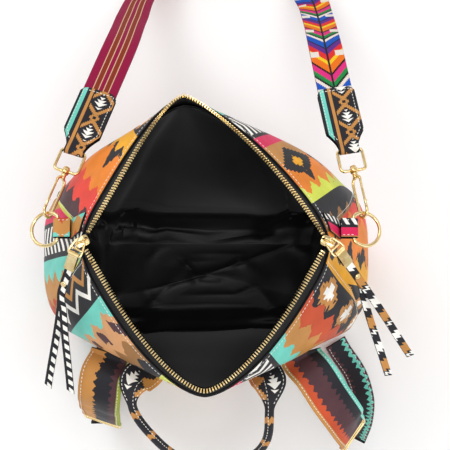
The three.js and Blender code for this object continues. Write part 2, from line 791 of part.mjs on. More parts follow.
function hookGeometry() {
  const r = hookHalfWidth;
  const points = [new THREE.Vector3(0, gateStart, r), new THREE.Vector3(0, gateStart / 2, r)];
  for (let k = 0; k <= 6; k += 1) {
    const angle = (Math.PI * k) / 6;
    points.push(new THREE.Vector3(0, -r * Math.sin(angle), r * Math.cos(angle)));
  }
  points.push(new THREE.Vector3(0, hookStraight / 2, -r));
  for (let k = 0; k <= 6; k += 1) {
    const angle = (Math.PI * k) / 6;
    points.push(new THREE.Vector3(0, hookStraight + r * Math.sin(angle), -r * Math.cos(angle)));
  }
  const eye = rod(new THREE.CatmullRomCurve3(points), hookRod, 24, 5, flatNormal);
  const neckLength = bossMiddle - swivelBossLength / 2 - gap - eyeTop + hookRod;
  const neck = cylinder(swivelCollar, neckLength, 8).translate(0, eyeTop - hookRod + neckLength / 2, 0);
  const postEnd = bossMiddle + swivelBossLength / 2 + gap;
  const postLength = postEnd - eyeTop + 0.2;
  const post = cylinder(swivelPost, postLength, 8).translate(0, eyeTop + postLength / 2, 0);
  const head = cylinder(swivelBoss * 0.8, 1.4, 8).translate(0, postEnd + 0.7, 0);
  return geometryOf(solidOf(eye).add(solidOf(neck)).add(solidOf(post)).add(solidOf(head)));
}

function gateGeometry() {
  const length = hookStraight - gateStart - 2 * gap - 0.4;
  return cylinder(gateRod, length, 8).translate(0, gateStart + gap + length / 2, hookHalfWidth);
}

function loopGeometry() {
  const [w, h, c] = [loopWidth / 2, loopHeight, loopCorner];
  const arc = (x, y, from) =>
    [0, 1, 2, 3].map((k) => {
      const angle = from + (k * Math.PI) / 6;
      return new THREE.Vector3(x + c * Math.cos(angle), y + c * Math.sin(angle), 0);
    });
  const corners = [
    ...arc(w - c, c, -Math.PI / 2),
    ...arc(w - c, h - c, 0),
    ...arc(c - w, h - c, Math.PI / 2),
    ...arc(c - w, c, Math.PI),
  ];
  const path = new THREE.CatmullRomCurve3(corners, true, "catmullrom", 0.1);
  const frame = rod(path, loopRod, 24, 5, new THREE.Vector3(0, 0, 1), true).translate(0, bossMiddle, 0);
  const boss = cylinder(swivelBoss, swivelBossLength, 10).translate(0, bossMiddle, 0);
  const bore = cylinder(swivelPost + gap, 2 * swivelBossLength, 10).translate(0, bossMiddle, 0);
  return geometryOf(solidOf(frame).add(solidOf(boss)).subtract(solidOf(bore)));
}

const strapEndGap = webbingThickness + 2 * gap;
const webbingStart = loopBar + 14; // the webbing's sewn end inside the leather

function strapEndGeometry() {
  const clear = loopRod + 2 * gap;
  const fold = foldedStrip(clear, strapEndLeather, strapEndGap, strapEndLength, strapEndWidth + 4);
  const half = strapEndWidth / 2;
  const neck = loopWidth / 2 - loopRod - 1;
  const back = -(clear + strapEndLeather + 1);
  const outline = new THREE.Shape();
  outline.moveTo(-neck, back);
  outline.lineTo(neck, back);
  outline.lineTo(neck, loopRod + 2);
  outline.quadraticCurveTo(neck + 1, 8, half, 20);
  outline.lineTo(half, strapEndLength - 5);
  outline.quadraticCurveTo(half, strapEndLength, half - 5, strapEndLength);
  outline.lineTo(5 - half, strapEndLength);
  outline.quadraticCurveTo(-half, strapEndLength, -half, strapEndLength - 5);
  outline.lineTo(-half, 20);
  outline.quadraticCurveTo(-neck - 1, 8, -neck, loopRod + 2);
  outline.closePath();
  const cutter = new THREE.ExtrudeGeometry(outline, { depth: 20, bevelEnabled: false, curveSegments: 4 });
  cutter.translate(0, 0, -10);
  return geometryOf(solidOf(fold).intersect(solidOf(cutter))).translate(0, loopBar, 0);
}

// The strap's two legs run forward and down past the flanks of the front panel, drawn in by
// different amounts. A leg's wire loop stays clear of the flank beside it.
const strapEnds = {
  left: { sign: -1, forward: 37, drop: 12.3, flankClear: 1.1 },
  right: { sign: 1, forward: 37.6, drop: 12.9, flankClear: 13.4 },
};

const hookSeat = hookHalfWidth - hookRod - ringWire - 2.7 * gap; // the strap draws the hooks up to the rings

function flankReach(sign, y, z) {
  let reach = 0;
  for (let t = 0.6; t <= 1; t += 0.005) {
    for (let turn = 0.1; turn <= Math.PI / 2; turn += 0.01) {
      const place = outerPoint(t, sign > 0 ? turn : Math.PI - turn);
      const beside = Math.abs(place.y - y) < loopRod && Math.abs(place.z - z) < loopRod;
      if (beside) {
        reach = Math.max(reach, Math.abs(place.x));
      }
    }
  }
  return reach;
}

for (const [side, end] of Object.entries(strapEnds)) {
  const contact = new THREE.Vector3(end.sign * ringHalfSpread, strapAxisY, strapAxisZ);
  const flank = flankReach(end.sign, contact.y + end.forward, contact.z - end.drop);
  const legX = end.sign * (flank + loopWidth / 2 + loopRod + end.flankClear);
  end.direction = new THREE.Vector3(legX - contact.x, end.forward, -end.drop);
  contact.addScaledVector(end.direction.clone().normalize(), hookSeat);
  const hookFrame = frameAlong(contact, end.direction, end.sign * hookRoll);
  hookFrame.name = `${side}_hook_frame`;
  addPiece(`${side}_hook`, hookGeometry(), gold, hookFrame);
  addPiece(`${side}_hook_gate`, gateGeometry(), gold, hookFrame);
  const loopFrame = frameAlong(contact, end.direction);
  addPiece(`${side}_hook_loop`, loopGeometry(), gold, loopFrame);
  addPiece(`${side}_strap_end`, strapEndGeometry(), print, loopFrame);
  end.at = (distance) => contact.clone().addScaledVector(end.direction.clone().normalize(), distance);
}

// Flat band along a route: the band starts level and rolls by the given turn along its length.
function band(route, width, thickness, steps, rollAt) {
  const curve = new THREE.CatmullRomCurve3(route, false, "centripetal");
  curve.arcLengthDivisions = 600;
  const rings = [];
  for (let i = 0; i <= steps; i += 1) {
    const place = curve.getPointAt(i / steps);
    const tangent = curve.getTangentAt(i / steps);
    const roll = rollAt(i / steps);
    const level = new THREE.Vector3().crossVectors(tangent, new THREE.Vector3(0, 0, 1)).normalize();
    const rise = new THREE.Vector3().crossVectors(level, tangent);
    const across = level.clone().multiplyScalar(Math.cos(roll)).addScaledVector(rise, Math.sin(roll));
    const face = rise.clone().multiplyScalar(Math.cos(roll)).addScaledVector(level, -Math.sin(roll));
    const corner = (x, z) =>
      place.clone().addScaledVector(across, x * width).addScaledVector(face, z * thickness);
    rings.push([corner(0.5, 0.5), corner(-0.5, 0.5), corner(-0.5, -0.5), corner(0.5, -0.5)]);
  }
  return loft(rings, false, [2]);
}

const floorEdge = webbingWidth / 2 + 0.4; // the webbing stands on its edge where it turns on the floor
const strapRoute = [
  strapEnds.left.at(webbingStart),
  strapEnds.left.at(webbingStart + 24),
  strapEnds.left.at(loopBar + strapEndLength + 12),
  new THREE.Vector3(-79, 182, 174),
  new THREE.Vector3(-74, 232, 114),
  new THREE.Vector3(-67, 282, 54),
  new THREE.Vector3(-46, 322, floorEdge + 3),
  new THREE.Vector3(-8, 352, floorEdge),
  new THREE.Vector3(36, 358, floorEdge),
  new THREE.Vector3(80, 332, floorEdge + 3),
  new THREE.Vector3(102, 284, 50),
  new THREE.Vector3(107, 232, 112),
  new THREE.Vector3(109, 182, 168),
  strapEnds.right.at(loopBar + strapEndLength + 6),
  strapEnds.right.at(webbingStart + 24),
  strapEnds.right.at(webbingStart),
];
const halfTurn = (share) => Math.PI * THREE.MathUtils.smoothstep(share, 0.22, 0.78);
addPiece("shoulder_strap", band(strapRoute, webbingWidth, webbingThickness, 44, halfTurn), webbing);

// Where a sewn strap leaves the back panel: the surface point nearest a place, and its outward normal.
function backAnchor(x, z) {
  let best = { distance: Infinity };
  for (let t = 0.4; t <= 0.95; t += 0.005) {
    for (let angle = Math.PI + 0.3; angle <= 2 * Math.PI - 0.3; angle += 0.01) {
      const place = outerPoint(t, angle);
      const distance = Math.hypot(place.x - x, place.z - z);
      if (distance < best.distance) {
        best = { distance, place, normal: place.clone().sub(wallPoint(t, angle, 1)) };
      }
    }
  }
  return best;
}

// A route that leaves the panel squarely and goes on through places counted from where it is sewn.
function anchoredRoute(anchor, rows) {
  const away = (distance) => anchor.place.clone().addScaledVector(anchor.normal, distance);
  const onward = rows.map((row) => anchor.place.clone().add(new THREE.Vector3(...row)));
  return [away(anchorGap), away(6), ...onward];
}

// Carry handle: flat leather tabs on the back panel that narrow into one rolled grip.
const handleAnchors = {
  right: backAnchor(handleHalfSpread, bodyHeight - handleDrop),
  left: backAnchor(-handleHalfSpread, bodyHeight - handleDrop),
};
const handleMiddle = handleAnchors.right.place.clone().lerp(handleAnchors.left.place, 0.5);
const handleRoute = [
  ...anchoredRoute(handleAnchors.right, [
    [5.7, -19.6, 8.3],
    [5.7, -42.6, 4.3],
    [3.7, -64.6, -19.7],
    [-13.3, -78.6, -57.7],
  ]),
  handleMiddle.add(new THREE.Vector3(9, -83.7, -73.7)),
  ...anchoredRoute(handleAnchors.left, [
    [-13, -19.8, 8.3],
    [-14, -38.8, 0.3],
    [5, -63.8, -27.7],
    [29, -78.8, -59.7],
  ]).reverse(),
];

function handleGeometry() {
  const curve = new THREE.CatmullRomCurve3(handleRoute, false, "centripetal");
  const length = curve.getLength();
  const steps = 26;
  const sides = 8;
  const rings = [];
  for (let i = 0; i <= steps; i += 1) {
    const share = i / steps;
    const fromEnd = Math.min(share, 1 - share) * length;
    const narrow = THREE.MathUtils.smoothstep(fromEnd, handleTabLength * 0.3, handleTabLength);
    const halfWidth = THREE.MathUtils.lerp(handleTabWidth / 2, handleRoll, narrow);
    const halfThick = THREE.MathUtils.lerp(handleTabThickness / 2, handleRoll, narrow);
    const place = curve.getPointAt(share);
    const tangent = curve.getTangentAt(share);
    const level = new THREE.Vector3().crossVectors(tangent, new THREE.Vector3(0, 0, 1)).normalize();
    const rise = new THREE.Vector3().crossVectors(level, tangent);
    const ring = [];
    for (let k = 0; k < sides; k += 1) {
      const angle = (2 * Math.PI * (k + 0.5)) / sides;
      ring.push(
        place
          .clone()
          .addScaledVector(level, halfWidth * Math.cos(angle))
          .addScaledVector(rise, halfThick * Math.sin(angle)),
      );
    }
    rings.push(ring);
  }
  return loft(rings);
}

addPiece("carry_handle", handleGeometry(), darkPrint);

// Backpack straps: a wide padded upper strap from the back panel, a slider and a narrow lower strap
// back to the base corner.
const backStraps = {
  right: {
    anchor: backAnchor(strapHalfSpread, bodyHeight - strapDrop),
    foot: new THREE.Vector3(baseHalfWidth, -baseHalfDepth, 0),
    upper: [
      [11.3, -18.5, 7.8],
      [26, -39, -3],
      [43, -57, -32],
      [50, -62, -70],
    ],
    lower: [
      [6, -82, 40],
      [10, -58, 12],
      [4, -34, 4],
      [-10, -12, 4],
      [-15, -4, 9],
    ],
  },
  left: {
    anchor: backAnchor(-strapHalfSpread, bodyHeight - strapDrop),
    foot: new THREE.Vector3(-baseHalfWidth, -baseHalfDepth, 0),
    upper: [
      [-8, -20, 5.7],
      [-11, -38, -5],
      [-13, -46, -36],
      [-14, -49, -72],
    ],
    lower: [
      [44, -74, 34],
      [42, -46, 6],
      [41, -22, 3],
      [41, -7, 4.5],
      [41, -1.4, 9],
    ],
  },
};
const noRoll = () => 0;

// Rectangular ring that joins the two straps.
function strapSliderGeometry() {
  const half = backStrapWidth / 2 - strapSliderRod;
  const corners = [
    [-half, -strapSliderReach],
    [0, -strapSliderReach],
    [half, -strapSliderReach],
    [half, 0],
    [half, strapSliderReach],
    [0, strapSliderReach],
    [-half, strapSliderReach],
    [-half, 0],
  ].map(([x, y]) => new THREE.Vector3(x, y, 0));
  const path = new THREE.CatmullRomCurve3(corners, true, "catmullrom", 0.2);
  const frame = rod(path, strapSliderRod, 20, 5, new THREE.Vector3(0, 0, 1), true);
  const bar = cylinder(strapSliderRod * 0.8, 2 * half, 6).rotateZ(Math.PI / 2);
  return geometryOf(solidOf(frame).add(solidOf(bar)));
}

for (const [side, strap] of Object.entries(backStraps)) {
  const upperRoute = anchoredRoute(strap.anchor, strap.upper);
  addPiece(`${side}_back_strap`, band(upperRoute, backStrapWidth, backStrapThickness, 14, noRoll), print);
  const last = upperRoute[upperRoute.length - 1];
  const ahead = last.clone().sub(upperRoute[upperRoute.length - 2]).normalize();
  const clear = strapSliderReach + strapSliderRod + 2 * gap;
  const middle = last.clone().addScaledVector(ahead, clear);
  addPiece(`${side}_strap_slider`, strapSliderGeometry(), gold, frameAlong(middle, ahead));
  const lowerRoute = [
    middle.clone().addScaledVector(ahead, clear),
    ...strap.lower.map((row) => strap.foot.clone().add(new THREE.Vector3(...row))),
  ];
  const lowerBand = band(lowerRoute, lowerStrapWidth, lowerStrapThickness, 16, noRoll);
  addPiece(`${side}_lower_strap`, lowerBand, darkPrint);
}

export default bag;
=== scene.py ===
import json
import math

import bmesh
import bpy
import numpy as np
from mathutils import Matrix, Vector


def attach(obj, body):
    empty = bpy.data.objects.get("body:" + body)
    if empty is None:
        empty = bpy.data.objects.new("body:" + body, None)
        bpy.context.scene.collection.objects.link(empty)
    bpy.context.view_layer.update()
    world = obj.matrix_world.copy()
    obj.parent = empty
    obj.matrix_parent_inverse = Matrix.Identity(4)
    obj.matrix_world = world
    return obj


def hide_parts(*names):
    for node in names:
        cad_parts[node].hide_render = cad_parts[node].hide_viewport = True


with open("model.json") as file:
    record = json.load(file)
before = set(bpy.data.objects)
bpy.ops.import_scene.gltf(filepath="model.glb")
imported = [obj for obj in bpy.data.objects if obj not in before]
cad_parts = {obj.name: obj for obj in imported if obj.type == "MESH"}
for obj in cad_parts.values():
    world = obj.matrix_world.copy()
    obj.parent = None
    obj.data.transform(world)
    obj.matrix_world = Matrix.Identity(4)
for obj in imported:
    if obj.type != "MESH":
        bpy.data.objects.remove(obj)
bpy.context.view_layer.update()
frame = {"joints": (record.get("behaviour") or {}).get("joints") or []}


# Studio: a pale seamless floor under a soft dome, which has a darker ring for the metal to mirror,
# and three soft lamps. The camera looks steeply down into the open mouth.

scene = bpy.context.scene
scene.view_settings.view_transform = "Standard"


def dress(tree, made, inputs):
    """Sets each input of a node to a value, or links it to a socket."""
    for key, value in inputs.items():
        value = getattr(value, "socket", value)
        if isinstance(value, bpy.types.NodeSocket):
            tree.links.new(value, made.inputs[key])
        else:
            made.inputs[key].default_value = value


def node(tree, kind, inputs=None, **settings):
    made = tree.nodes.new(kind)
    for name, value in settings.items():
        setattr(made, name, value)
    dress(tree, made, inputs or {})
    return made


def output(tree, kind, inputs=None, **settings):
    return node(tree, kind, inputs, **settings).outputs[0]


def surface(name, looks):
    """A finish whose shader inputs are worked out by looks(tree)."""
    material = bpy.data.materials.new(name)
    material.use_nodes = True
    tree = material.node_tree
    dress(tree, tree.nodes["Principled BSDF"], looks(tree))
    return material


def relief(tree, height, strength, distance):
    return output(tree, "ShaderNodeBump", {"Height": height, "Strength": strength, "Distance": distance})


def stand(name, data):
    made = bpy.data.objects.new(name, data)
    scene.collection.objects.link(made)
    return made


def paper(tree):
    fibre = output(tree, "ShaderNodeTexNoise", {"Scale": 400.0, "Detail": 3.0})
    return {"Base Color": (0.93, 0.93, 0.93, 1), "Roughness": 0.8,
            "Normal": relief(tree, fibre, 0.05, 0.0002)}


FLOOR_REACH, FLOOR_DROP = 6.0, 0.0004
floor_mesh = bpy.data.meshes.new("floor")
floor_mesh.from_pydata([(x * FLOOR_REACH, y * FLOOR_REACH, -FLOOR_DROP)
                        for x, y in ((-1, -1), (1, -1), (1, 1), (-1, 1))], [], [(0, 1, 2, 3)])
floor_mesh.materials.append(surface("studio_paper", paper))
stand("floor", floor_mesh)

scene.world = bpy.data.worlds.new("studio")
scene.world.use_nodes = True
sky = scene.world.node_tree
climb = node(sky, "ShaderNodeSeparateXYZ", {"Vector": node(sky, "ShaderNodeTexCoord").outputs["Generated"]})
dome = node(sky, "ShaderNodeValToRGB", {"Fac": climb.outputs["Z"]})
dome.color_ramp.elements[0].color = (0.5, 0.5, 0.51, 1)
dome.color_ramp.elements[1].position = 0.9
for place, tone in ((0.42, 1.0), (0.56, 0.3), (0.7, 0.34), (0.82, 1.0)):
    dome.color_ramp.elements.new(place).color = (tone, tone, tone, 1)
dress(sky, sky.nodes["Background"], {"Color": dome.outputs["Color"], "Strength": 1.2})

for name, place, aim, size, power in (
        ("key_light", (-0.9, 0.9, 1.7), (0, 0, 0.15), 0.9, 8),
        ("fill_light", (1.2, -0.8, 1.3), (0, 0, 0.15), 1.1, 4),
        ("top_light", (0.15, -0.7, 2.0), (0, 0.05, 0.2), 0.5, 7)):
    lamp = bpy.data.lights.new(name, "AREA")
    lamp.size, lamp.energy = size, power
    holder = stand(name, lamp)
    holder.location = place
    holder.rotation_euler = (Vector(aim) - Vector(place)).to_track_quat("-Z", "Y").to_euler()

lens = bpy.data.cameras.new("camera")
lens.lens, lens.sensor_width, lens.clip_start = 112.2, 36, 0.05
scene.camera = stand("camera", lens)
scene.camera.location = (0.0164, -0.2927, 1.3872)
scene.camera.rotation_euler = (math.radians(14), 0, 0)


# Printed leather: coated leather with a bright printed design of stripes with straight and torn
# edges, chevron bars, zigzag lines, lozenges and kites, over a fine pebbled grain.
# Cut sizes lie in the UV map, U across the bands and V down them, in metres.

def colour(red, green, blue):
    return tuple(c / 255 / 12.92 if c < 11 else ((c / 255 + 0.055) / 1.055) ** 2.4
                 for c in (red, green, blue)) + (1.0,)


CHARCOAL = colour(42, 42, 47)
TEAL = colour(110, 200, 185)
LIME = colour(205, 215, 85)
TAN = colour(190, 135, 75)
PALE_TAN = colour(206, 152, 106)
BROWN = colour(150, 108, 64)
PLUM = colour(82, 55, 60)
ORANGE = colour(226, 130, 48)
GOLD_YELLOW = colour(231, 166, 46)
RED = colour(224, 74, 64)
RUST = colour(190, 80, 50)
WHITE = colour(238, 236, 230)
CRIMSON = colour(214, 42, 90)

# Each band's width, colour and whether its first edge is torn.
BANDS = [
    (20, CHARCOAL, 0), (10, TEAL, 0), (14, TAN, 1), (12, RUST, 1), (18, CHARCOAL, 1), (13, GOLD_YELLOW, 0),
    (24, ORANGE, 1), (12, RED, 1), (11, PLUM, 1), (9, LIME, 0), (22, CHARCOAL, 0), (10, TEAL, 0),
    (18, PALE_TAN, 1), (11, BROWN, 1), (12, CHARCOAL, 1), (8, LIME, 0), (18, ORANGE, 1), (12, TAN, 0),
    (8, CRIMSON, 0)]
BARS_BAND, LOZENGE_BAND, PEAK_BAND, ZIGZAG_BAND, BLOCK_BAND, KITE_BAND = 0, 4, 6, 10, 12, 17
REPEAT = sum(band[0] for band in BANDS)


def band_edge(index):
    return sum(band[0] for band in BANDS[:index])


class Reading:
    """A value in a material that is added, multiplied and compared like a plain number."""

    def __init__(self, tree, socket):
        self.tree, self.socket = tree, socket


def tree_of(values):
    return next(value.tree for value in values if isinstance(value, Reading))


def reckon(operation, *values):
    tree = tree_of(values)
    return Reading(tree, output(tree, "ShaderNodeMath", dict(enumerate(values)), operation=operation))


# Each sign between readings adds one maths node.
for sign, operation in (("add", "ADD"), ("sub", "SUBTRACT"), ("mul", "MULTIPLY"), ("truediv", "DIVIDE"),
                        ("lt", "LESS_THAN"), ("gt", "GREATER_THAN"), ("abs", "ABSOLUTE")):
    setattr(Reading, f"__{sign}__", lambda *values, way=operation: reckon(way, *values))


def fract(value):
    return reckon("FRACT", value)


def wrap(value, size):
    return reckon("WRAP", value, size, 0.0)


def pingpong(value, size):
    return reckon("PINGPONG", value, size)


def step_down(value, size):
    return reckon("FLOOR", value / size) * size


def between(value, low, high):
    return (value > low) * (value < high)


def mixed(share, first, second, blend="MIX"):
    tree = tree_of((share, first, second))
    made = node(tree, "ShaderNodeMix", {0: share, 6: first, 7: second}, data_type="RGBA", blend_type=blend)
    return Reading(tree, made.outputs[2])


def stops(share, entries, blend="CONSTANT"):
    """The colour at a share of the way along a row of (place, colour) entries."""
    made = node(share.tree, "ShaderNodeValToRGB", {"Fac": share})
    ramp = made.color_ramp
    ramp.interpolation = blend
    ramp.elements.remove(ramp.elements[-1])
    for i, (place, tone) in enumerate(entries):
        element = ramp.elements.new(place) if i else ramp.elements[0]
        element.position, element.color = place, tone
    return Reading(share.tree, made.outputs["Color"])


def fade(share, low, high):
    return stops(share, [(0.3, low), (0.7, high)], "LINEAR")


def noise(tree, scale, detail, place=None):
    place = place or node(tree, "ShaderNodeTexCoord").outputs["Object"]
    grain = output(tree, "ShaderNodeTexNoise", {"Vector": place, "Scale": scale, "Detail": detail})
    return Reading(tree, grain)


def striped(share, stripes):
    edges = np.cumsum([0] + [stripe[0] for stripe in stripes]) / sum(stripe[0] for stripe in stripes)
    return stops(share, [(float(edge), stripe[1]) for edge, stripe in zip(edges, stripes)])


def make_print():
    group = bpy.data.node_groups.new("banded_print", "ShaderNodeTree")
    for label in ("Across", "Down"):
        group.interface.new_socket(label, in_out="INPUT", socket_type="NodeSocketFloat")
    group.interface.new_socket("Color", in_out="OUTPUT", socket_type="NodeSocketColor")
    start, end = group.nodes.new("NodeGroupInput"), group.nodes.new("NodeGroupOutput")
    across, down = (Reading(group, start.outputs[label]) for label in ("Across", "Down"))
    torn = stops(fract(across / REPEAT), [
        (max(0, band_edge(i) - BANDS[i - 1][0] / 2) / REPEAT, (flag, flag, flag, 1))
        for i, (_, _, flag) in enumerate(BANDS)])
    place = output(group, "ShaderNodeCombineXYZ", {"X": across, "Y": down})
    saw = pingpong(down, 6.5) - 3.25 + (noise(group, 0.33, 1.0, place) - 0.5) * 5.0
    at = wrap(across + torn * saw, REPEAT)
    design = striped(at / REPEAT, BANDS)

    # White chevron bars, then stepped lozenges, tan with a pale heart, on two of the dark bands.
    middle = band_edge(BARS_BAND) + 10
    bars = fract((abs(at - middle) * 0.6 + down) / 7.0) < 0.45
    design = mixed(bars * between(at, middle - 7.5, middle + 7.5), design, WHITE)
    middle = band_edge(LOZENGE_BAND) + 9
    lozenge = step_down(abs(at - middle), 1.8) + step_down(abs(wrap(down, 25.0) - 12.5), 2.2)
    near = between(at, middle - 8.5, middle + 8.5)
    design = mixed(near * (lozenge < 7.6), design, TAN)
    design = mixed(near * (lozenge < 3.8), design, WHITE)

    # A pair of zigzag lines on the third dark band, and dark stepped peaks on the orange one.
    near = between(at, band_edge(ZIGZAG_BAND) + 1, band_edge(ZIGZAG_BAND + 1) - 1)
    for offset, paint in ((0.0, TAN), (8.0, WHITE)):
        line = at - (band_edge(ZIGZAG_BAND) + 3 + offset) - pingpong(down, 8.0)
        design = mixed((abs(line) < 1.7) * near, design, paint)
    peak = at - band_edge(PEAK_BAND) < step_down(pingpong(down, 12.0), 2.0)
    design = mixed(peak * between(at, band_edge(PEAK_BAND), band_edge(PEAK_BAND + 1)), design, CHARCOAL)

    # Plum blocks on the pale tan band, and tall dark kites with a gold heart beside the last tan one.
    block = (fract(down / 15.0) < 0.42) * between(at, band_edge(BLOCK_BAND) + 5, band_edge(BLOCK_BAND) + 12)
    design = mixed(block, design, PLUM)
    kite = abs(wrap(down, 38.0) - 19.0) * 0.6 + step_down(abs(at - (band_edge(KITE_BAND) - 2)), 1.5)
    design = mixed(kite < 10.5, design, CHARCOAL)
    design = mixed(kite < 3.2, design, GOLD_YELLOW)
    dress(group, end, {"Color": design})
    return group


banded_print = make_print()


def banded(across, down):
    design = output(across.tree, "ShaderNodeGroup", {"Across": across, "Down": down}, node_tree=banded_print)
    return Reading(across.tree, design)


def cut_sizes(tree):
    cut = output(tree, "ShaderNodeUVMap", uv_map="cut")
    place = node(tree, "ShaderNodeSeparateXYZ", {"Vector": cut})
    return [Reading(tree, place.outputs[k]) * 1000.0 for k in (0, 1)]


def leather(name, design, gloss=0.4):
    """Grained leather in one colour, or with a design worked out from its cut sizes in mm."""
    def looks(tree):
        paint = design(*cut_sizes(tree)) if callable(design) else design
        shade = fade(noise(tree, 45.0, 5.0), (0.9, 0.9, 0.9, 1), (1.14, 1.13, 1.11, 1))
        where = node(tree, "ShaderNodeTexCoord").outputs["Object"]
        pebble = output(tree, "ShaderNodeTexVoronoi", {"Vector": where, "Scale": 900.0}, feature="SMOOTH_F1")
        crease = noise(tree, 160.0, 4.0)
        return {"Base Color": mixed(1.0, paint, shade, "MULTIPLY"), "Roughness": crease * 0.16 + gloss,
                "Normal": relief(tree, crease * 0.8 + Reading(tree, pebble), 0.18, 0.0004),
                "Specular IOR Level": 0.1}
    return surface(name, looks)


# Bag body: four leather panels lofted from a flat base to a wide zip mouth, each turned in at its
# seams and painted black along its cut edge. The soft walls slouch and buckle.

GAP = 0.35
BASE_WIDE, BASE_DEEP = 141.0, 65.0
BODY_HEIGHT, BODY_LEAN = 262.0, 28.0
MOUTH_TILT = math.tan(math.radians(8))
APEX_SHIFT, TUCK_DEPTH = -18.0, 9.0
LEATHER = 1.8
MOUTH_WIDE, MOUTH_DEEP = 101.0, 119.5
WALL_FOOT = 3.35
RIM_ROUND = 0.16
SEAM_ROLL, SEAM_REACH, SEAM_FLAT = 1.5, 2.2, 14.0
PRINT_SCALE, PANEL_ROWS = 0.62, 96
LEVEL_AT = [0, 0.25, 0.5, 0.75, 0.9, 1]
LEVELS = {
    "width": [BASE_WIDE, BASE_WIDE + 5, BASE_WIDE + 6, BASE_WIDE - 5, MOUTH_WIDE + 19, MOUTH_WIDE + 8],
    "front": [BASE_DEEP, BASE_DEEP + 8, BASE_DEEP + 20, MOUTH_DEEP - 14, MOUTH_DEEP - 3, MOUTH_DEEP + 2],
    "back": [BASE_DEEP, BASE_DEEP + 8, BASE_DEEP + 18, MOUTH_DEEP - 15, MOUTH_DEEP - 1, MOUTH_DEEP + 5],
    "p": [6, 4.8, 3.7, 2.7, 1.95, 1.5],
    "q": [6, 4.8, 3.5, 2.1, 1.4, 1.05],
}
edge_paint = leather("black_edge_paint", colour(26, 25, 27), 0.34)


def eased(value, start=0.0, reach=1.0):
    s = np.clip((value - start) / reach, 0, 1)
    return s * s * (3 - 2 * s)


def curve(a, b, leave, arrive, s):
    return (a * (1 + 2 * s) * (1 - s) ** 2 + b * s * s * (3 - 2 * s)
            + leave * s * (1 - s) ** 2 + arrive * s * s * (s - 1))


def level(key, t):
    """A size of the body at the share t of its height, read smoothly from LEVELS."""
    at, value = np.array(LEVEL_AT, float), np.array(LEVELS[key], float)
    slope = np.diff(value) / np.diff(at)
    tangent = np.concatenate([[slope[0]], np.zeros(len(at) - 2), [slope[-1]]])
    for k in range(1, len(at) - 1):
        before, after = slope[k - 1], slope[k]
        tangent[k] = 0 if before * after <= 0 else 2 * before * after / (before + after)
    i = np.clip(np.searchsorted(at, t, side="left") - 1, 0, len(at) - 2)
    span = at[i + 1] - at[i]
    return curve(value[i], value[i + 1], span * tangent[i], span * tangent[i + 1], (t - at[i]) / span)


def bump_of(distance, size):
    s = np.minimum(1, np.abs(distance) / size)
    return (1 - s * s) ** 2


def oval(a, front, back, p, q, shift, angle):
    y = np.sign(np.sin(angle)) * np.abs(np.sin(angle)) ** (2 / q)
    x = a * np.sign(np.cos(angle)) * np.abs(np.cos(angle)) ** (2 / p) + shift * np.maximum(0, y) ** 2
    return x, y * np.where(y > 0, front, back)


def body_point(t, angle):
    t, angle = np.broadcast_arrays(np.asarray(t, float), np.asarray(angle, float))
    rounder = np.where(np.sin(angle) < 0, RIM_ROUND * eased(t, 0.75, 0.25), 0)
    x, y = oval(level("width", t), level("front", t), level("back", t), level("p", t) + rounder,
                level("q", t), APEX_SHIFT * t ** 3, angle)
    from_side = np.arcsin(np.abs(np.sin(angle)))
    tuck = TUCK_DEPTH * bump_of(t - 0.86, 0.3) * bump_of(from_side, 0.5)
    return np.stack([x - np.sign(np.cos(angle)) * tuck, y - BODY_LEAN * t ** 1.5,
                     WALL_FOOT + (BODY_HEIGHT - WALL_FOOT) * t + MOUTH_TILT * t * t * y], -1)


def unit(v):
    return v / np.maximum(np.linalg.norm(v, axis=-1, keepdims=True), 1e-9)


def body_normal(t, angle):
    turn = body_point(t, angle + 0.06) - body_point(t, angle - 0.06)
    climb = body_point(np.minimum(1, t + 0.03), angle) - body_point(np.maximum(0, t - 0.03), angle)
    return unit(np.cross(turn, climb))


def slouch(t, angle):
    """How far the soft wall stands out: broad dents, buckles low down and drapes under the mouth."""
    hang = np.sin(np.pi * np.clip(t, 0, 1)) ** 1.5
    broad = 1.6 * np.sin(3 * angle + 0.7) * np.sin(5.2 * t + 1.1) + 1.0 * np.sin(7 * angle - 4 * t + 2.0)
    buckle = 1.1 * np.sin(2 * np.pi * (2.4 * t + 0.12 * np.sin(4 * angle))) * bump_of(t - 0.4, 0.36)
    drape = 0.6 * np.sin(13 * angle + 3 * np.sin(2.2 * angle)) * bump_of(t - 0.72, 0.26)
    return hang * (broad + buckle) + drape


def seam_angle(edge, t):
    turn, way = edge
    return turn + way * (math.pi / 4 + (math.radians(15) - math.pi / 4) * eased(t))


def lengths(points):
    steps = np.linalg.norm(np.diff(points, axis=0), axis=-1)
    return np.concatenate([np.zeros((1,) + steps.shape[1:]), np.cumsum(steps, axis=0)])


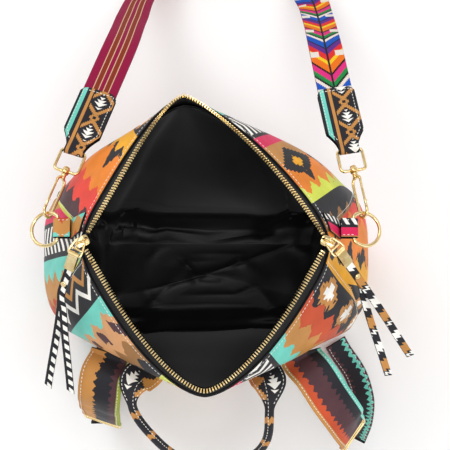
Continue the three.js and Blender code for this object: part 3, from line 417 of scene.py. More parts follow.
def piece(name, parts, looks, sharp=38):
    """One object from grids of points in mm, each with its cut sizes, look number and closed way."""
    places, faces, corners, marks, first = [], [], [], [], 0
    for grid, cut, look, closed in parts:
        spots = first + np.arange(grid.shape[0] * grid.shape[1]).reshape(grid.shape[:2])
        if closed:
            spots = np.concatenate([spots, spots[:, :1]], 1)
        places.append(grid.reshape(-1, 3))
        for table, kept in ((spots, faces), (cut, corners)):
            quads = np.stack([table[:-1, :-1], table[:-1, 1:], table[1:, 1:], table[1:, :-1]], 2)
            kept.append(quads.reshape((-1, 4) + quads.shape[3:]))
        marks += [min(look, len(looks) - 1)] * len(faces[-1])
        first += len(places[-1])
    mesh = bpy.data.meshes.new(name)
    mesh.from_pydata((np.vstack(places) * 0.001).tolist(), [], np.vstack(faces).tolist())
    layer = mesh.uv_layers.new(name="cut")
    layer.data.foreach_set("uv", (np.concatenate(corners) * 0.001).astype(np.float32).ravel())
    mesh.polygons.foreach_set("material_index", marks)
    work = bmesh.new()
    work.from_mesh(mesh)
    bmesh.ops.remove_doubles(work, verts=work.verts, dist=3e-6)
    bmesh.ops.recalc_face_normals(work, faces=work.faces)
    work.to_mesh(mesh)
    work.free()
    mesh.shade_smooth()
    mesh.set_sharp_from_angle(angle=math.radians(sharp))
    for look in looks:
        mesh.materials.append(look)
    return stand(name, mesh)


def fix(made, body, slot, *nodes):
    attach(made, body)
    if nodes:
        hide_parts(*nodes)
    return made


def no_cut(grid, closed=False):
    return np.zeros(grid.shape[:1] + (grid.shape[1] + (1 if closed else 0), 2))


def spread_out(*sizes):
    return np.stack(np.broadcast_arrays(*sizes), -1)


def sheet_parts(outer, inner, cut, bulge):
    """Closed leather sheet: two faces and a rounded edge all round."""
    rim = lambda a, b, towards: np.stack([a, (a + b) / 2 + unit(a - towards) * bulge, b])
    edges = [rim(outer[0], inner[0], outer[1]), rim(outer[-1], inner[-1], outer[-2]),
             rim(outer[:, 0], inner[:, 0], outer[:, 1]), rim(outer[:, -1], inner[:, -1], outer[:, -2])]
    for row, column in ((0, 0), (0, -1), (-1, 0), (-1, -1)):
        end, side = edges[0 if row == 0 else 1], edges[2 if column == 0 else 3]
        end[1, column] = side[1, row] = (end[1, column] + side[1, row]) / 2
    return [(outer, cut, 0, False), (inner, cut, 1, False)] + [(e, no_cut(e), 1, False) for e in edges]


def leather_panel(name, start, end, columns, look):
    t = np.linspace(0, 1, PANEL_ROWS + 1) ** 0.9
    u = np.linspace(0, 1, columns + 1)
    angle = seam_angle(start, t)[:, None] * (1 - u) + seam_angle(end, t)[:, None] * u
    t = np.broadcast_to(t[:, None], angle.shape)
    across = lambda grid: lengths(grid.swapaxes(0, 1)).swapaxes(0, 1)
    outer, normal = body_point(t, angle), body_normal(t, angle)
    along = across(outer)
    to_seam = np.minimum(along, along[:, -1:] - along)
    turned_in = SEAM_ROLL * np.exp(-(to_seam / SEAM_REACH) ** 2) * np.clip((1 - t) * 12, 0, 1)
    dents = slouch(t, angle) * np.clip(to_seam / SEAM_FLAT, 0, 1) * np.clip((1 - t) * 9, 0, 1)
    outer = outer + normal * (dents - turned_in)[..., None]
    wide, middle = across(outer), columns // 2
    down = lengths(outer[::-1, middle])[::-1]
    cut = spread_out(wide - wide[:, middle:middle + 1] + wide[-1, middle], down[:, None])
    parts = sheet_parts(outer, outer - normal * LEATHER, cut, bulge=0.4)
    fix(piece(name + "_leather", parts, [look, edge_paint]), "bag", "printed_leather", name)
    return outer, normal


panels = {}
for name, start, end, columns, shift in (
        ("front_panel", (0, 1), (math.pi, -1), 150, 200.0),
        ("back_panel", (math.pi, 1), (2 * math.pi, -1), 150, 143.0),
        ("right_gusset", (0, -1), (0, 1), 60, 88.0),
        ("left_gusset", (math.pi, -1), (math.pi, 1), 60, 10.0)):
    look = leather(name + "_print",
                   lambda across, down: banded(across * PRINT_SCALE + shift, down * PRINT_SCALE))
    panels[name] = leather_panel(name, start, end, columns, look)


# Base panel: one thick piece of printed leather under the bag, with a rounded cut edge. The walls
# are sewn round it.

def full_turn(count):
    return np.linspace(0, 2 * math.pi, count, endpoint=False)


def base_ring(inset, z):
    x, y = oval(BASE_WIDE - inset, BASE_DEEP - inset, BASE_DEEP - inset, 6, 6, 0, full_turn(144))
    return spread_out(x, y, z)


def plate(rings):
    middle = lambda ring: np.repeat(ring.mean(axis=0, keepdims=True), len(ring), 0)
    return np.stack([middle(rings[0])] + rings + [middle(rings[-1])])


def base_plate(inset, low, high, round_edge):
    grid = plate([base_ring(inset + round_edge, low), base_ring(inset, low + round_edge),
                  base_ring(inset, high - round_edge), base_ring(inset + round_edge, high)])
    return [(grid, np.concatenate([grid, grid[:, :1]], 1)[..., :2] + 160, 0, True)]


BASE_THICK, BOARD_THICK = 3.0, 2.0
look = leather("base_print", lambda across, down: banded(across + 30.0, down))
base = base_plate(inset=0, low=0, high=BASE_THICK, round_edge=0.8)
fix(piece("base_leather", base, [look]), "bag", "printed_leather", "base_panel")


# Base board: a sheet of grey-brown board, cut a little smaller than the base panel. It lies loose on
# that panel inside the bag, under the lining.

card = surface("stiff_board", lambda tree: {"Roughness": 0.85, "Base Color": fade(
    noise(tree, 260.0, 6.0), colour(120, 104, 82), colour(150, 134, 108))})
board_low = BASE_THICK + GAP
board = base_plate(inset=LEATHER + 2 * GAP, low=board_low, high=board_low + BOARD_THICK, round_edge=0.3)
fix(piece("board", board, [card]), "bag", "base_board", "base_board")


# Zip tape: black woven tape sewn inside the leather rim, bent along the whole mouth.
# A thin ridge runs along it beside the teeth.

TAPE = 1.0
TEETH_RISE = 6.0
TAPE_START, TAPE_RIDGE, TAPE_SAG = 0.9, 0.27, 0.35
ZIP_END = math.asin(math.sqrt((4.3 + 1.6) / MOUTH_DEEP))


def teeth_point(angle):
    angle = np.asarray(angle, float)
    squareness = np.where(np.sin(angle) < 0, 1.55, 1.38)
    x, y = oval(MOUTH_WIDE, MOUTH_DEEP, MOUTH_DEEP, squareness, 1.0, APEX_SHIFT, angle)
    return np.stack([x, y - BODY_LEAN, BODY_HEIGHT + TEETH_RISE + (MOUTH_TILT + 0.03) * y], -1)


def tape_sewn(angle):
    rim = np.ones_like(angle)
    return body_point(rim, angle) - body_normal(rim, angle) * (LEATHER + GAP + TAPE / 2)


def tape_out(angle):
    return unit(tape_sewn(angle) - teeth_point(angle))


def tape_up(angle):
    return unit(np.cross(teeth_point(angle + 0.02) - teeth_point(angle - 0.02), tape_out(angle)))


def woven(name, paint, pitch, rough):
    def looks(tree):
        across, down = cut_sizes(tree)
        weave = reckon("SINE", across * (2 * math.pi / pitch)) * reckon("SINE", down * (2 * math.pi / pitch))
        shade = fade(weave * 0.18 + 0.5, (0.72, 0.72, 0.72, 1), (1.2, 1.2, 1.2, 1))
        return {"Base Color": mixed(1.0, paint, shade, "MULTIPLY"), "Roughness": rough,
                "Normal": relief(tree, weave, 0.35, 0.0003)}
    return surface(name, looks)


tape_cloth = woven("zip_tape_weave", colour(14, 14, 16), 1.1, 0.8)
ZIP_HALVES = {"front": 0.0, "back": math.pi}
for half, turn in ZIP_HALVES.items():
    angle = turn + np.linspace(ZIP_END, math.pi - ZIP_END, 260)
    edge = teeth_point(angle) + tape_out(angle) * TAPE_START
    share = np.linspace(0, 1, 13)
    ridge = TAPE_RIDGE * np.exp(-((share - 0.16) / 0.07) ** 2)
    middle = edge[:, None] + (tape_sewn(angle) - edge)[:, None] * share[:, None]
    up = tape_up(angle)[:, None]
    sag = TAPE_SAG * np.sin(angle * 31)[:, None] * np.sin(np.pi * share)
    top = middle + up * (TAPE / 2 + ridge + sag)[..., None]
    low = middle - up * (TAPE / 2 - sag)[..., None]
    parts = sheet_parts(top, low, spread_out(lengths(edge)[:, None], share * 8), bulge=0.15)
    fix(piece(half + "_zip_tape_cloth", parts, [tape_cloth]), "bag", "black_cloth", half + "_zip_tape")


# Gold metal: the bright plating of all the metal pieces, thin over cast or bent metal. It has soft
# smudges and very fine polishing marks.

def plating(tree):
    smudge = noise(tree, 120.0, 4.0)
    return {"Base Color": fade(smudge, colour(226, 192, 128), colour(250, 230, 178)), "Metallic": 1.0,
            "Roughness": smudge * 0.12 + 0.1, "Normal": relief(tree, noise(tree, 1500.0, 2.0), 0.04, 0.0001)}


gold = surface("gold_plating", plating)


# Zip teeth: two rows of gold teeth clamped on the tape, each a blade with a grip and a nub.
# A row of points with two directions each becomes a row of teeth, and later rows of stitches.

def repeat_tree(name, build):
    tree = bpy.data.node_groups.new(name, "GeometryNodeTree")
    for label in ("Geometry", "Length", "Width", "Height", "Material"):
        kind = label if label in ("Geometry", "Material") else "Float"
        tree.interface.new_socket(label, in_out="INPUT", socket_type="NodeSocket" + kind)
    tree.interface.new_socket("Geometry", in_out="OUTPUT", socket_type="NodeSocketGeometry")
    start, end = tree.nodes.new("NodeGroupInput").outputs, tree.nodes.new("NodeGroupOutput")
    size = output(tree, "ShaderNodeCombineXYZ",
                  {"X": start["Length"], "Y": start["Width"], "Z": start["Height"]})
    along, up = (output(tree, "GeometryNodeInputNamedAttribute", {"Name": label}, data_type="FLOAT_VECTOR")
                 for label in ("along", "up"))
    turned = output(tree, "FunctionNodeAlignRotationToVector", {"Vector": along}, axis="X")
    turned = output(tree, "FunctionNodeAlignRotationToVector", {"Rotation": turned, "Vector": up}, axis="Z",
                    pivot_axis="X")
    row = output(tree, "GeometryNodeInstanceOnPoints", {
        "Points": start["Geometry"], "Instance": build(tree, size), "Rotation": turned})
    row = output(tree, "GeometryNodeRealizeInstances", {"Geometry": row})
    row = output(tree, "GeometryNodeSetMaterial", {"Geometry": row, "Material": start["Material"]})
    dress(tree, end, {"Geometry": row})
    return tree


def tooth_shape(tree, size):
    share = lambda shares: output(tree, "ShaderNodeVectorMath", {0: size, 1: shares}, operation="MULTIPLY")
    moved = lambda shape, place: output(
        tree, "GeometryNodeTransform", {"Geometry": shape, "Translation": place})
    blade = output(tree, "GeometryNodeMeshCube", {"Size": size})
    grip = moved(output(tree, "GeometryNodeMeshCube", {"Size": share((0.4, 1.2, 1.25))}), share((0.32, 0, 0)))
    nub = output(tree, "GeometryNodeMeshUVSphere", {"Segments": 8, "Rings": 4, "Radius": 0.0007})
    nub = moved(nub, share((-0.3, 0, 0.42)))
    joined = node(tree, "GeometryNodeJoinGeometry")
    for shape in (blade, grip, nub):
        dress(tree, joined, {"Geometry": shape})
    return joined.outputs[0]


def repeated(name, tree, rows, size, look):
    place, along, up = (np.concatenate([row[k] for row in rows]) for k in range(3))
    mesh = bpy.data.meshes.new(name)
    mesh.from_pydata((place * 0.001).tolist(), [], [])
    for label, value in (("along", along), ("up", up)):
        mesh.attributes.new(label, "FLOAT_VECTOR", "POINT").data.foreach_set(
            "vector", value.astype(np.float32).ravel())
    made = stand(name, mesh)
    modifier = made.modifiers.new("row", "NODES")
    modifier.node_group = tree
    keys = {item.name: item.identifier for item in tree.interface.items_tree if item.in_out == "INPUT"}
    for label, value in zip(("Length", "Width", "Height"), size):
        modifier[keys[label]] = value * 0.001
    modifier[keys["Material"]] = look
    plain = bpy.data.meshes.new_from_object(made.evaluated_get(bpy.context.evaluated_depsgraph_get()))
    made.modifiers.clear()
    made.data = plain
    bpy.data.meshes.remove(mesh)
    plain.name = name
    return made


TOOTH_PITCH, TOOTH_SIZE, ROW_TRIM = 2.42, (4.0, 1.0, 2.1), 0.02
tooth_tree = repeat_tree("zip_tooth_row", tooth_shape)
for half, turn in ZIP_HALVES.items():
    fine = np.linspace(turn + ZIP_END + ROW_TRIM, turn + math.pi - ZIP_END - ROW_TRIM, 6000)
    far = lengths(teeth_point(fine))
    angle = np.interp(np.arange(0, far[-1], TOOTH_PITCH), far, fine)
    row = (teeth_point(angle) - tape_out(angle) * 0.3, tape_out(angle), tape_up(angle))
    made = repeated(half + "_zip_teeth_metal", tooth_tree, [row], TOOTH_SIZE, gold)
    fix(made, "bag", "gold_metal", half + "_zip_teeth")


# Lining: a black satin bag, sewn in at the zip tape and hanging loose inside the leather. Its folds
# come from a short cloth simulation inside a shell of the bag's inner wall.

def satin_weave(tree):
    fibre = noise(tree, 30.0, 3.0)
    return {"Base Color": fade(fibre, colour(18, 18, 20), colour(25, 25, 28)),
            "Roughness": fibre * 0.12 + 0.36, "Specular IOR Level": 0.2, "Sheen Weight": 0.15,
            "Sheen Roughness": 0.5, "Normal": relief(tree, noise(tree, 2200.0, 1.0), 0.06, 0.0002)}


satin = surface("black_satin", satin_weave)
CORNER_ROUND = 34.0
CREASES = ((0.035, 0.062, 0.02, 0.4, 2.2), (-0.02, 0.075, 0.02, 2.1, 1.8), (0.012, 0.047, -0.02, 4.0, 1.7),
           (0.055, -0.04, 0.01, 1.2, 1.3))


# The lining and the shell are one shape, at different depths inside the leather.
def inner_bag(depth, top, floor_z, around, rows, floor_rows, fold):
    angle = full_turn(around)
    rings = []
    for t in np.linspace(top, (floor_z - WALL_FOOT) / (BODY_HEIGHT - WALL_FOOT), rows):
        place, out = body_point(np.full(around, t), angle), body_normal(np.full(around, t), angle)
        pleat = 0.5 + 0.5 * np.sin(13 * angle + 2.6 * np.sin(3 * angle + 1.0) + 3.5 * t)
        tongue = 2.2 * np.exp(-((angle - 1.56 + 0.1 * (1 - t)) / 0.1) ** 2)
        loose = depth + fold * (pleat ** 2 + tongue) * math.sin(math.pi * min(1, t * 1.02)) ** 0.8
        if fold:
            corner = np.clip(1 - (place[:, 2] - floor_z) / CORNER_ROUND, 0, 0.97)
            loose = loose + CORNER_ROUND * (1 - np.sqrt(1 - corner ** 2))
        rings.append(place - out * loose[:, None])
    foot = rings[-1]
    foot[:, 2] = floor_z
    middle = foot.mean(axis=0)
    rings += [middle + (foot - middle) * share for share in np.linspace(0.95, 0.0, floor_rows)]
    return np.stack(rings)


def creased(grid):
    x, y, z = (grid[..., k] for k in range(3))
    tall = 0
    for kx, ky, kz, start, height in CREASES:
        wave = np.sin(kx * x + ky * y + kz * z + start + 0.9 * np.sin(0.021 * x - 0.03 * y + start))
        tall = tall + height * (1 - np.abs(wave)) ** 3
    inward = np.stack([-x / BASE_WIDE, -(y + 12) / MOUTH_DEEP, np.clip(1 - z / 40, 0, 1)], -1)
    tall = tall * np.clip(1.25 - z / 80 - y / 160, 0, 1) * np.clip((BODY_HEIGHT - 30 - z) / 40, 0, 1)
    return grid + unit(inward) * tall[..., None]


LINING_AROUND, SETTLE_FRAMES = 220, 26
grid = creased(inner_bag(depth=LEATHER + 4, top=0.975, floor_z=6.2, around=LINING_AROUND, rows=72,
                         floor_rows=24, fold=7.0))
cut = spread_out(np.arange(LINING_AROUND + 1) * 3.0, np.arange(len(grid))[:, None] * 4.0)
lining = piece("lining_satin", [(grid, cut, 0, True)], [satin], 180)
wall = inner_bag(depth=LEATHER + 1.6, top=0.99, floor_z=4.8, around=90, rows=40, floor_rows=9, fold=0.0)
shell = piece("inner_wall", [(wall, no_cut(wall, True), 0, True)], [satin], 180)
shell.modifiers.new("wall", "COLLISION")
shell.collision.thickness_outer, shell.collision.thickness_inner = 0.0015, 0.004
work = bmesh.new()
work.from_mesh(lining.data)
held = {v.index for v in work.verts if v.is_boundary or v.co.z < 0.013}
work.free()
lining.vertex_groups.new(name="sewn").add(sorted(held), 1.0, "REPLACE")
cloth = lining.modifiers.new("hang", "CLOTH")
for name, value in {"quality": 7, "mass": 0.12, "tension_stiffness": 12, "compression_stiffness": 12,
                    "shear_stiffness": 4, "bending_stiffness": 0.12, "shrink_min": -0.06,
                    "air_damping": 2, "vertex_group_mass": "sewn"}.items():
    setattr(cloth.settings, name, value)
cloth.collision_settings.distance_min, cloth.collision_settings.collision_quality = 0.001, 3
cloth.point_cache.frame_start, cloth.point_cache.frame_end = 1, SETTLE_FRAMES
for step in range(1, SETTLE_FRAMES + 1):
    scene.frame_set(step)
settled = bpy.data.meshes.new_from_object(lining.evaluated_get(bpy.context.evaluated_depsgraph_get()))
# The cloth stays inside the leather wall and above the board.
before, after = (np.array([v.co for v in mesh.vertices]) for mesh in (lining.data, settled))
facing = np.array([v.normal for v in lining.data.vertices])
facing *= np.sign((facing * (before - (0, -0.01, 0.12))).sum(axis=1, keepdims=True))
after = after - facing * np.maximum(0, ((after - before) * facing).sum(axis=1, keepdims=True) - 0.002)
after[:, 2] = np.maximum(after[:, 2], 0.006)
settled.vertices.foreach_set("co", after.ravel())
settled.update()
lining.modifiers.clear()
lining.vertex_groups.clear()
lining.data = settled
scene.frame_set(1)
bpy.data.objects.remove(shell)
fix(lining, "bag", "black_cloth", "lining")


# Panel stitching: pale thread in one row along the zip mouth and one beside each upright seam.
# Each stitch is a short bead of thread that lies on the leather.

STITCH, STITCH_PITCH = (2.5, 0.75, 0.6), 3.3
thread = surface("pale_thread", lambda tree: {"Roughness": 0.75, "Base Color": fade(
    noise(tree, 700.0, 2.0), colour(206, 202, 192), colour(244, 242, 236))})


def stitch_shape(tree, size):
    bead = output(tree, "GeometryNodeMeshUVSphere", {"Segments": 8, "Rings": 5, "Radius": 0.5})
    bead = output(tree, "GeometryNodeTransform", {"Geometry": bead, "Scale": size})
    return output(tree, "GeometryNodeSetShadeSmooth", {"Geometry": bead})


stitch_tree = repeat_tree("stitch_row", stitch_shape)


def sew(name, rows, body, slot, size=STITCH):
    fix(repeated(name, stitch_tree, rows, size, thread), body, slot)


def read_at(at, far, values):
    return np.stack([np.interp(at, far, values[:, k]) for k in range(3)], -1)


def stitch_line(line, up, pitch=STITCH_PITCH, trim=0.0):
    far, up = lengths(line), np.broadcast_to(up, line.shape)
    count = max(2, int((far[-1] - 2 * trim) / pitch))
    at = np.linspace(trim + pitch / 2, far[-1] - trim - pitch / 2, count)
    along = read_at(at + 0.4, far, line) - read_at(at - 0.4, far, line)
    return read_at(at, far, line), unit(along), unit(read_at(at, far, up))


def line_inside(grid, ups, distance):
    """The line on a sheet that runs at a distance from its first edge, with the ways out of it."""
    far = lengths(grid)
    return [np.stack([read_at(distance, far[:, c], values[:, c]) for c in range(grid.shape[1])])
            for values in (grid, ups)]


RIM_SEWING, SEAM_SEWING = 3.6, 5.2
sewing = []
for name, (outer, normal) in panels.items():
    sewing.append(stitch_line(*line_inside(outer[::-1], normal[::-1], RIM_SEWING), trim=3))
    if name.endswith("panel"):
        outer, normal = outer.swapaxes(0, 1), normal.swapaxes(0, 1)
        for way in (1, -1):
            sewing.append(stitch_line(*line_inside(outer[::way], normal[::way], SEAM_SEWING), trim=4))
sew("panel_stitches", sewing, "bag", "printed_leather")


# Zip sliders: cast gold bodies at both ends of the zip, two tapered plates on a wedge with an arch
# on top for the pull.

SIDES = {"left": -1, "right": 1}
PULL_TURN = {"left": 211, "right": -24}


def fillet(corners, radius, closed=True, steps=7):
    corners = np.array(corners, float)
    path, count = [], len(corners)
    for i, here in enumerate(corners):
        if not closed and i in (0, count - 1):
            path.append(here)
            continue
        before, after = corners[i - 1], corners[(i + 1) % count]
        cut = min(radius, 0.49 * np.linalg.norm(before - here), 0.49 * np.linalg.norm(after - here))
        a, b = here + unit(before - here) * cut, here + unit(after - here) * cut
        path += [a * (1 - s) ** 2 + here * 2 * s * (1 - s) + b * s * s for s in np.linspace(0, 1, steps)]
    return np.array(path)


def rod(path, radius, normal, closed=False, sides=12):
    """Round wire along a flat path, with domed ends when it isn't a closed loop."""
    path, normal = np.asarray(path, float), np.asarray(normal, float)
    tangent = np.roll(path, -1, 0) - np.roll(path, 1, 0) if closed else np.gradient(path, axis=0)
    side = unit(np.cross(unit(tangent), normal))
    turn = full_turn(sides)[:, None]
    grid = path[:, None] + radius * (side[:, None] * np.cos(turn) + normal * np.sin(turn))
    if closed:
        return np.concatenate([grid, grid[:1]])
    dome = lambda end, before, row: (np.stack([np.repeat(end[None], sides, 0), end + (row - end) * 0.75])
                                     + unit(end - before) * radius * 0.3)
    return np.concatenate([dome(path[0], path[1], grid[0]), grid, dome(path[-1], path[-2], grid[-1])[::-1]])


def in_frame(seat, points):
    origin, x, y, z = seat
    points = np.asarray(points, float)
    return origin + points[..., :1] * x + points[..., 1:2] * y + points[..., 2:] * z


def seat_along(origin, direction, roll=0.0):
    y = unit(np.array(direction, float))
    x = unit(np.cross(y, (0, 0, 1)))
    z = np.cross(x, y)
    return (np.array(origin, float), x * math.cos(roll) - z * math.sin(roll), y,
            x * math.sin(roll) + z * math.cos(roll))


def metal(name, seat, grids, body, solid):
    parts = [(in_frame(seat, grid), no_cut(grid, True), 0, True) for grid in grids]
    fix(piece(name, parts, [gold], 50), body, "gold_metal", solid)


def slab(outline, low, high, bevel=0.45):
    middle = outline.mean(axis=0)
    small = middle + (outline - middle) * (1 - bevel / np.linalg.norm(outline - middle, axis=1).min())
    ring = lambda flat, z: spread_out(flat[:, 0], flat[:, 1], z)
    return plate([ring(small, low), ring(outline, low + bevel), ring(outline, high - bevel),
                  ring(small, high)])


slider_outline = fillet([(-6, -3.3), (-2.4, -4.3), (1.2, -3.44), (6, -2.67), (6, 2.67), (1.2, 3.44),
                         (-2.4, 4.3), (-6, 3.3)], 1.6, steps=5)
wedge_outline = fillet([(-5.2, 0), (1.5, -2.3), (4.5, -1.4), (4.5, 1.4), (1.5, 2.3)], 0.8, steps=4)
share = np.linspace(-1, 1, 25)
arch_path = spread_out(5 * share, 0.0, 2.1 + 6.2 * (1 - share ** 4))
slider_shapes = [slab(slider_outline, 1.4, 2.7), slab(slider_outline, -2.7, -1.4),
                 slab(wedge_outline, -1.6, 1.6, bevel=0.1), rod(arch_path, 0.95, (0, 1, 0))]
for side, sign in SIDES.items():
    turn = math.radians(PULL_TURN[side])
    place = (sign * MOUTH_WIDE, -BODY_LEAN, BODY_HEIGHT + TEETH_RISE)
    seat = seat_along(place, (-math.sin(turn), math.cos(turn), 0))
    metal(side + "_slider_metal", seat, slider_shapes, "bag", side + "_slider")


# Zip pulls: a bail of bent gold wire that hangs in each slider's arch, with a cross bar above the
# folded cap of the tassel.

joints = {joint["name"]: joint for joint in frame["joints"]}


def place_of(joint):
    return np.array(joints[joint]["pos_m"]) * 1000


bail = fillet([(-3.6, 0, 0), (3.6, 0, 0), (5.6, 9, 0), (5.6, 13, 0), (-5.6, 13, 0), (-5.6, 9, 0)], 1.8)
bail_bar = [(-5.2, 8, 0), (-2, 8, 0), (2, 8, 0), (5.2, 8, 0)]
pull_shapes = [rod(bail, 1.0, (0, 0, 1), closed=True), rod(bail_bar, 0.8, (0, 0, 1))]
for side in SIDES:
    eye = place_of(side + "_pull_lift")
    seat = seat_along(eye, place_of(side + "_tassel_swing") - eye)
    metal(side + "_pull_metal", seat, pull_shapes, side + "_pull", side + "_pull")


# Tassels: a folded gold cap on each pull, and two printed leather tails held under it by a rivet.
# The left tails carry slanted pale bars, and the right ones broken patches.

FOLD_MIDDLE, TAIL_MIDDLE = 100.0, 60.0


def folded(clear, thickness, leg_gap, length, half_width, across=9, tip_round=0.0):
    """A strip folded round a bar along x: grids of its outer and inner face, with cut sizes."""
    middle = clear + thickness / 2
    leg = leg_gap / 2 + thickness / 2
    taper = min(3 * (clear + thickness), 0.6 * length)
    along = [(s, leg) for s in np.linspace(length, taper, 26)]
    along += [(taper * (1 - s), leg + (middle - leg) * eased(s)) for s in np.linspace(0, 1, 10)[1:-1]]
    bend = [(-middle * math.sin(a), middle * math.cos(a)) for a in np.linspace(0, math.pi, 17)]
    path = np.array(along + bend + [(y, -z) for y, z in along[::-1]])
    tangent = unit(np.gradient(path, axis=0))
    out = np.column_stack([-tangent[:, 1], tangent[:, 0]]) * np.sign(tangent[0, 0])
    share = np.linspace(-1, 1, across)
    x = half_width(path[:, :1]) * share
    pull_back = 0.0
    if tip_round:
        pull_back = np.clip(path[:, :1] - (length - tip_round), 0, tip_round) * np.abs(share) ** 6
    faces = [spread_out(x, flat[:, :1] - pull_back, flat[:, 1:])
             for flat in (path + out * thickness / 2, path - out * thickness / 2)]
    return faces[0], faces[1], spread_out(x + FOLD_MIDDLE, lengths(path)[:, None])


def seated(seat, outer, inner, cut, bulge):
    return [(in_frame(seat, grid), sizes, look, closed)
            for grid, sizes, look, closed in sheet_parts(outer, inner, cut, bulge)]


def strap_axes(path, roll=0.0):
    tangent = unit(np.gradient(path, axis=0))
    level_way = unit(np.cross(tangent, (0, 0, 1)))
    rise = np.cross(level_way, tangent)
    roll = np.broadcast_to(roll, (len(path),))[:, None]
    return level_way * np.cos(roll) + rise * np.sin(roll), rise * np.cos(roll) - level_way * np.sin(roll)


def strap_faces(path, half, thickness, across, roll=0.0, crown=0.0):
    side, face = strap_axes(path, roll)
    share = np.linspace(-1, 1, across)
    wide = np.broadcast_to(half, (len(path),))[:, None] * share
    flat = path[:, None] + side[:, None] * wide[..., None]
    swell = face[:, None] * (thickness / 2 + crown * (1 - share ** 4))[:, None]
    return flat + swell, flat - swell, spread_out(wide, lengths(path)[:, None])


def soft_tail(start, knee, length, turn, half, thickness, level_z, curl):
    s = np.linspace(0, 1, 60)
    y = start + (knee + length - start) * s
    bend = np.clip((y - knee) / length, 0, 1)
    path = spread_out(-math.sin(turn) * length * bend * np.minimum(1, bend * 6),
                      np.where(y > knee, knee + (y - knee) * math.cos(turn), y),
                      level_z + curl * np.sin(bend * math.pi * 1.5) * 1.4)
    outer, inner, cut = strap_faces(path, half, thickness, 7)
    slant = np.clip((s - 0.93) / 0.07, 0, 1)[:, None] * (np.linspace(-1, 1, 7) + 1) * half * 0.55
    back = unit(np.gradient(path, axis=0))[:, None] * slant[..., None]
    return outer - back, inner - back, cut + (TAIL_MIDDLE, 0)


def lathe(profile, sides):
    turn = full_turn(sides)
    return [spread_out(r * np.cos(turn), y, r * np.sin(turn)) for r, y in profile]


def rivet(radius, face):
    profile = [(0.75, -face - 1.0), (1, -face - 0.5), (1, -face), (0.5, -face), (0.5, face), (1, face),
               (1, face + 0.4), (0.75, face + 0.95), (0.35, face + 1.15)]
    return plate(lathe([(radius * share, z) for share, z in profile], 24))[..., [0, 2, 1]]


def slanted_bars(across, down):
    return mixed((fract((across * 0.5 + down) / 9.5) < 0.52) * (across < 0.9), CHARCOAL, WHITE)


def broken_patches(across, down):
    jag = pingpong(across * 1.4 + down, 3.0)
    return stops(wrap(jag * 1.3 + down, 46.0) / 46.0, [
        (0, CHARCOAL), (0.22, WHITE), (0.42, CHARCOAL), (0.62, TAN), (0.86, CHARCOAL), (0.93, WHITE)])


TASSEL_SLOPE = math.radians(46)
CAP_HALF, RIVET_PLACE = 4.2, 31.0
cap_fold = folded(clear=1.7, thickness=0.8, leg_gap=3.45, length=15, half_width=lambda y: CAP_HALF, across=7)
TAIL = {"start": 5.0, "knee": 37.0, "length": 106.0, "half": 3.3, "thickness": 1.2}
for side, lean, spread, design in (("left", 0.25, 0.1, slanted_bars), ("right", -0.14, 0.13, broken_patches)):
    eye, bar_place = place_of(side + "_pull_lift"), place_of(side + "_tassel_swing")
    heading = unit((bar_place - eye) * (1, 1, 0))
    seat = seat_along(bar_place, heading * math.cos(TASSEL_SLOPE) - np.array([0, 0, math.sin(TASSEL_SLOPE)]))
    body = side + "_tassel"
    cap = seated(seat, *cap_fold, bulge=0.15)
    fix(piece(side + "_cap_metal", cap, [gold], 50), body, "gold_metal", side + "_tassel_cap")
    tails = []
    for turn, z, curl in ((lean + spread, 0.78, 1), (lean - spread, -0.78, -1)):
        tails += seated(seat, *soft_tail(turn=turn, level_z=z, curl=curl, **TAIL), bulge=0.15)
    look = leather(side + "_tail_print", lambda across, down: design(across - TAIL_MIDDLE, down))
    fix(piece(side + "_tassel_leather", tails, [look, edge_paint]), body, "dark_leather",
        side + "_tassel_strip")
    head = rivet(2.5, 1.75) + np.array([0, RIVET_PLACE, 0])
    metal(side + "_rivet_metal", seat, [head], body, side + "_tassel_rivet")


# Rings: a gold D ring at each end of the mouth. It hangs in a printed leather tab that is folded round
# its bar, with one leaf sewn up the gusset.

RING_RADIUS, RING_HALF, RING_TILT = 14.4, 10.5, math.radians(20)
TAB_HALF, TAB_SEWING, TAB_FACE = 8.0, 6.4, 3.75
LEAF_FACE, LEAF_BACK = 2.0, 0.5
TAB_SHIFT = {"left": 199.0, "right": 162.0}
bow_end = math.pi - math.asin(RING_HALF / RING_RADIUS)
bar_offset = math.sqrt(RING_RADIUS ** 2 - RING_HALF ** 2)
bow = np.linspace(bow_end, -bow_end, 44)
ring_path = RING_RADIUS * np.column_stack([np.cos(bow), np.sin(bow), np.zeros(44)])
bar_path = fillet([ring_path[-3], (-bar_offset, -RING_HALF, 0), (-bar_offset, RING_HALF, 0), ring_path[2]],
                  3.0, closed=False)
ring_wire = rod(np.vstack([ring_path[2:-2], bar_path[1:-1]]), 1.5, (0, 0, 1), closed=True, sides=14)
tab_fold = folded(clear=2.2, thickness=1.5, leg_gap=4.4, length=10.9, half_width=lambda y: TAB_HALF,
                  across=11)
leaf_t, leaf_y = np.linspace(0.885, 0.985, 16), np.linspace(-TAB_HALF, TAB_HALF, 11)
sewing = []
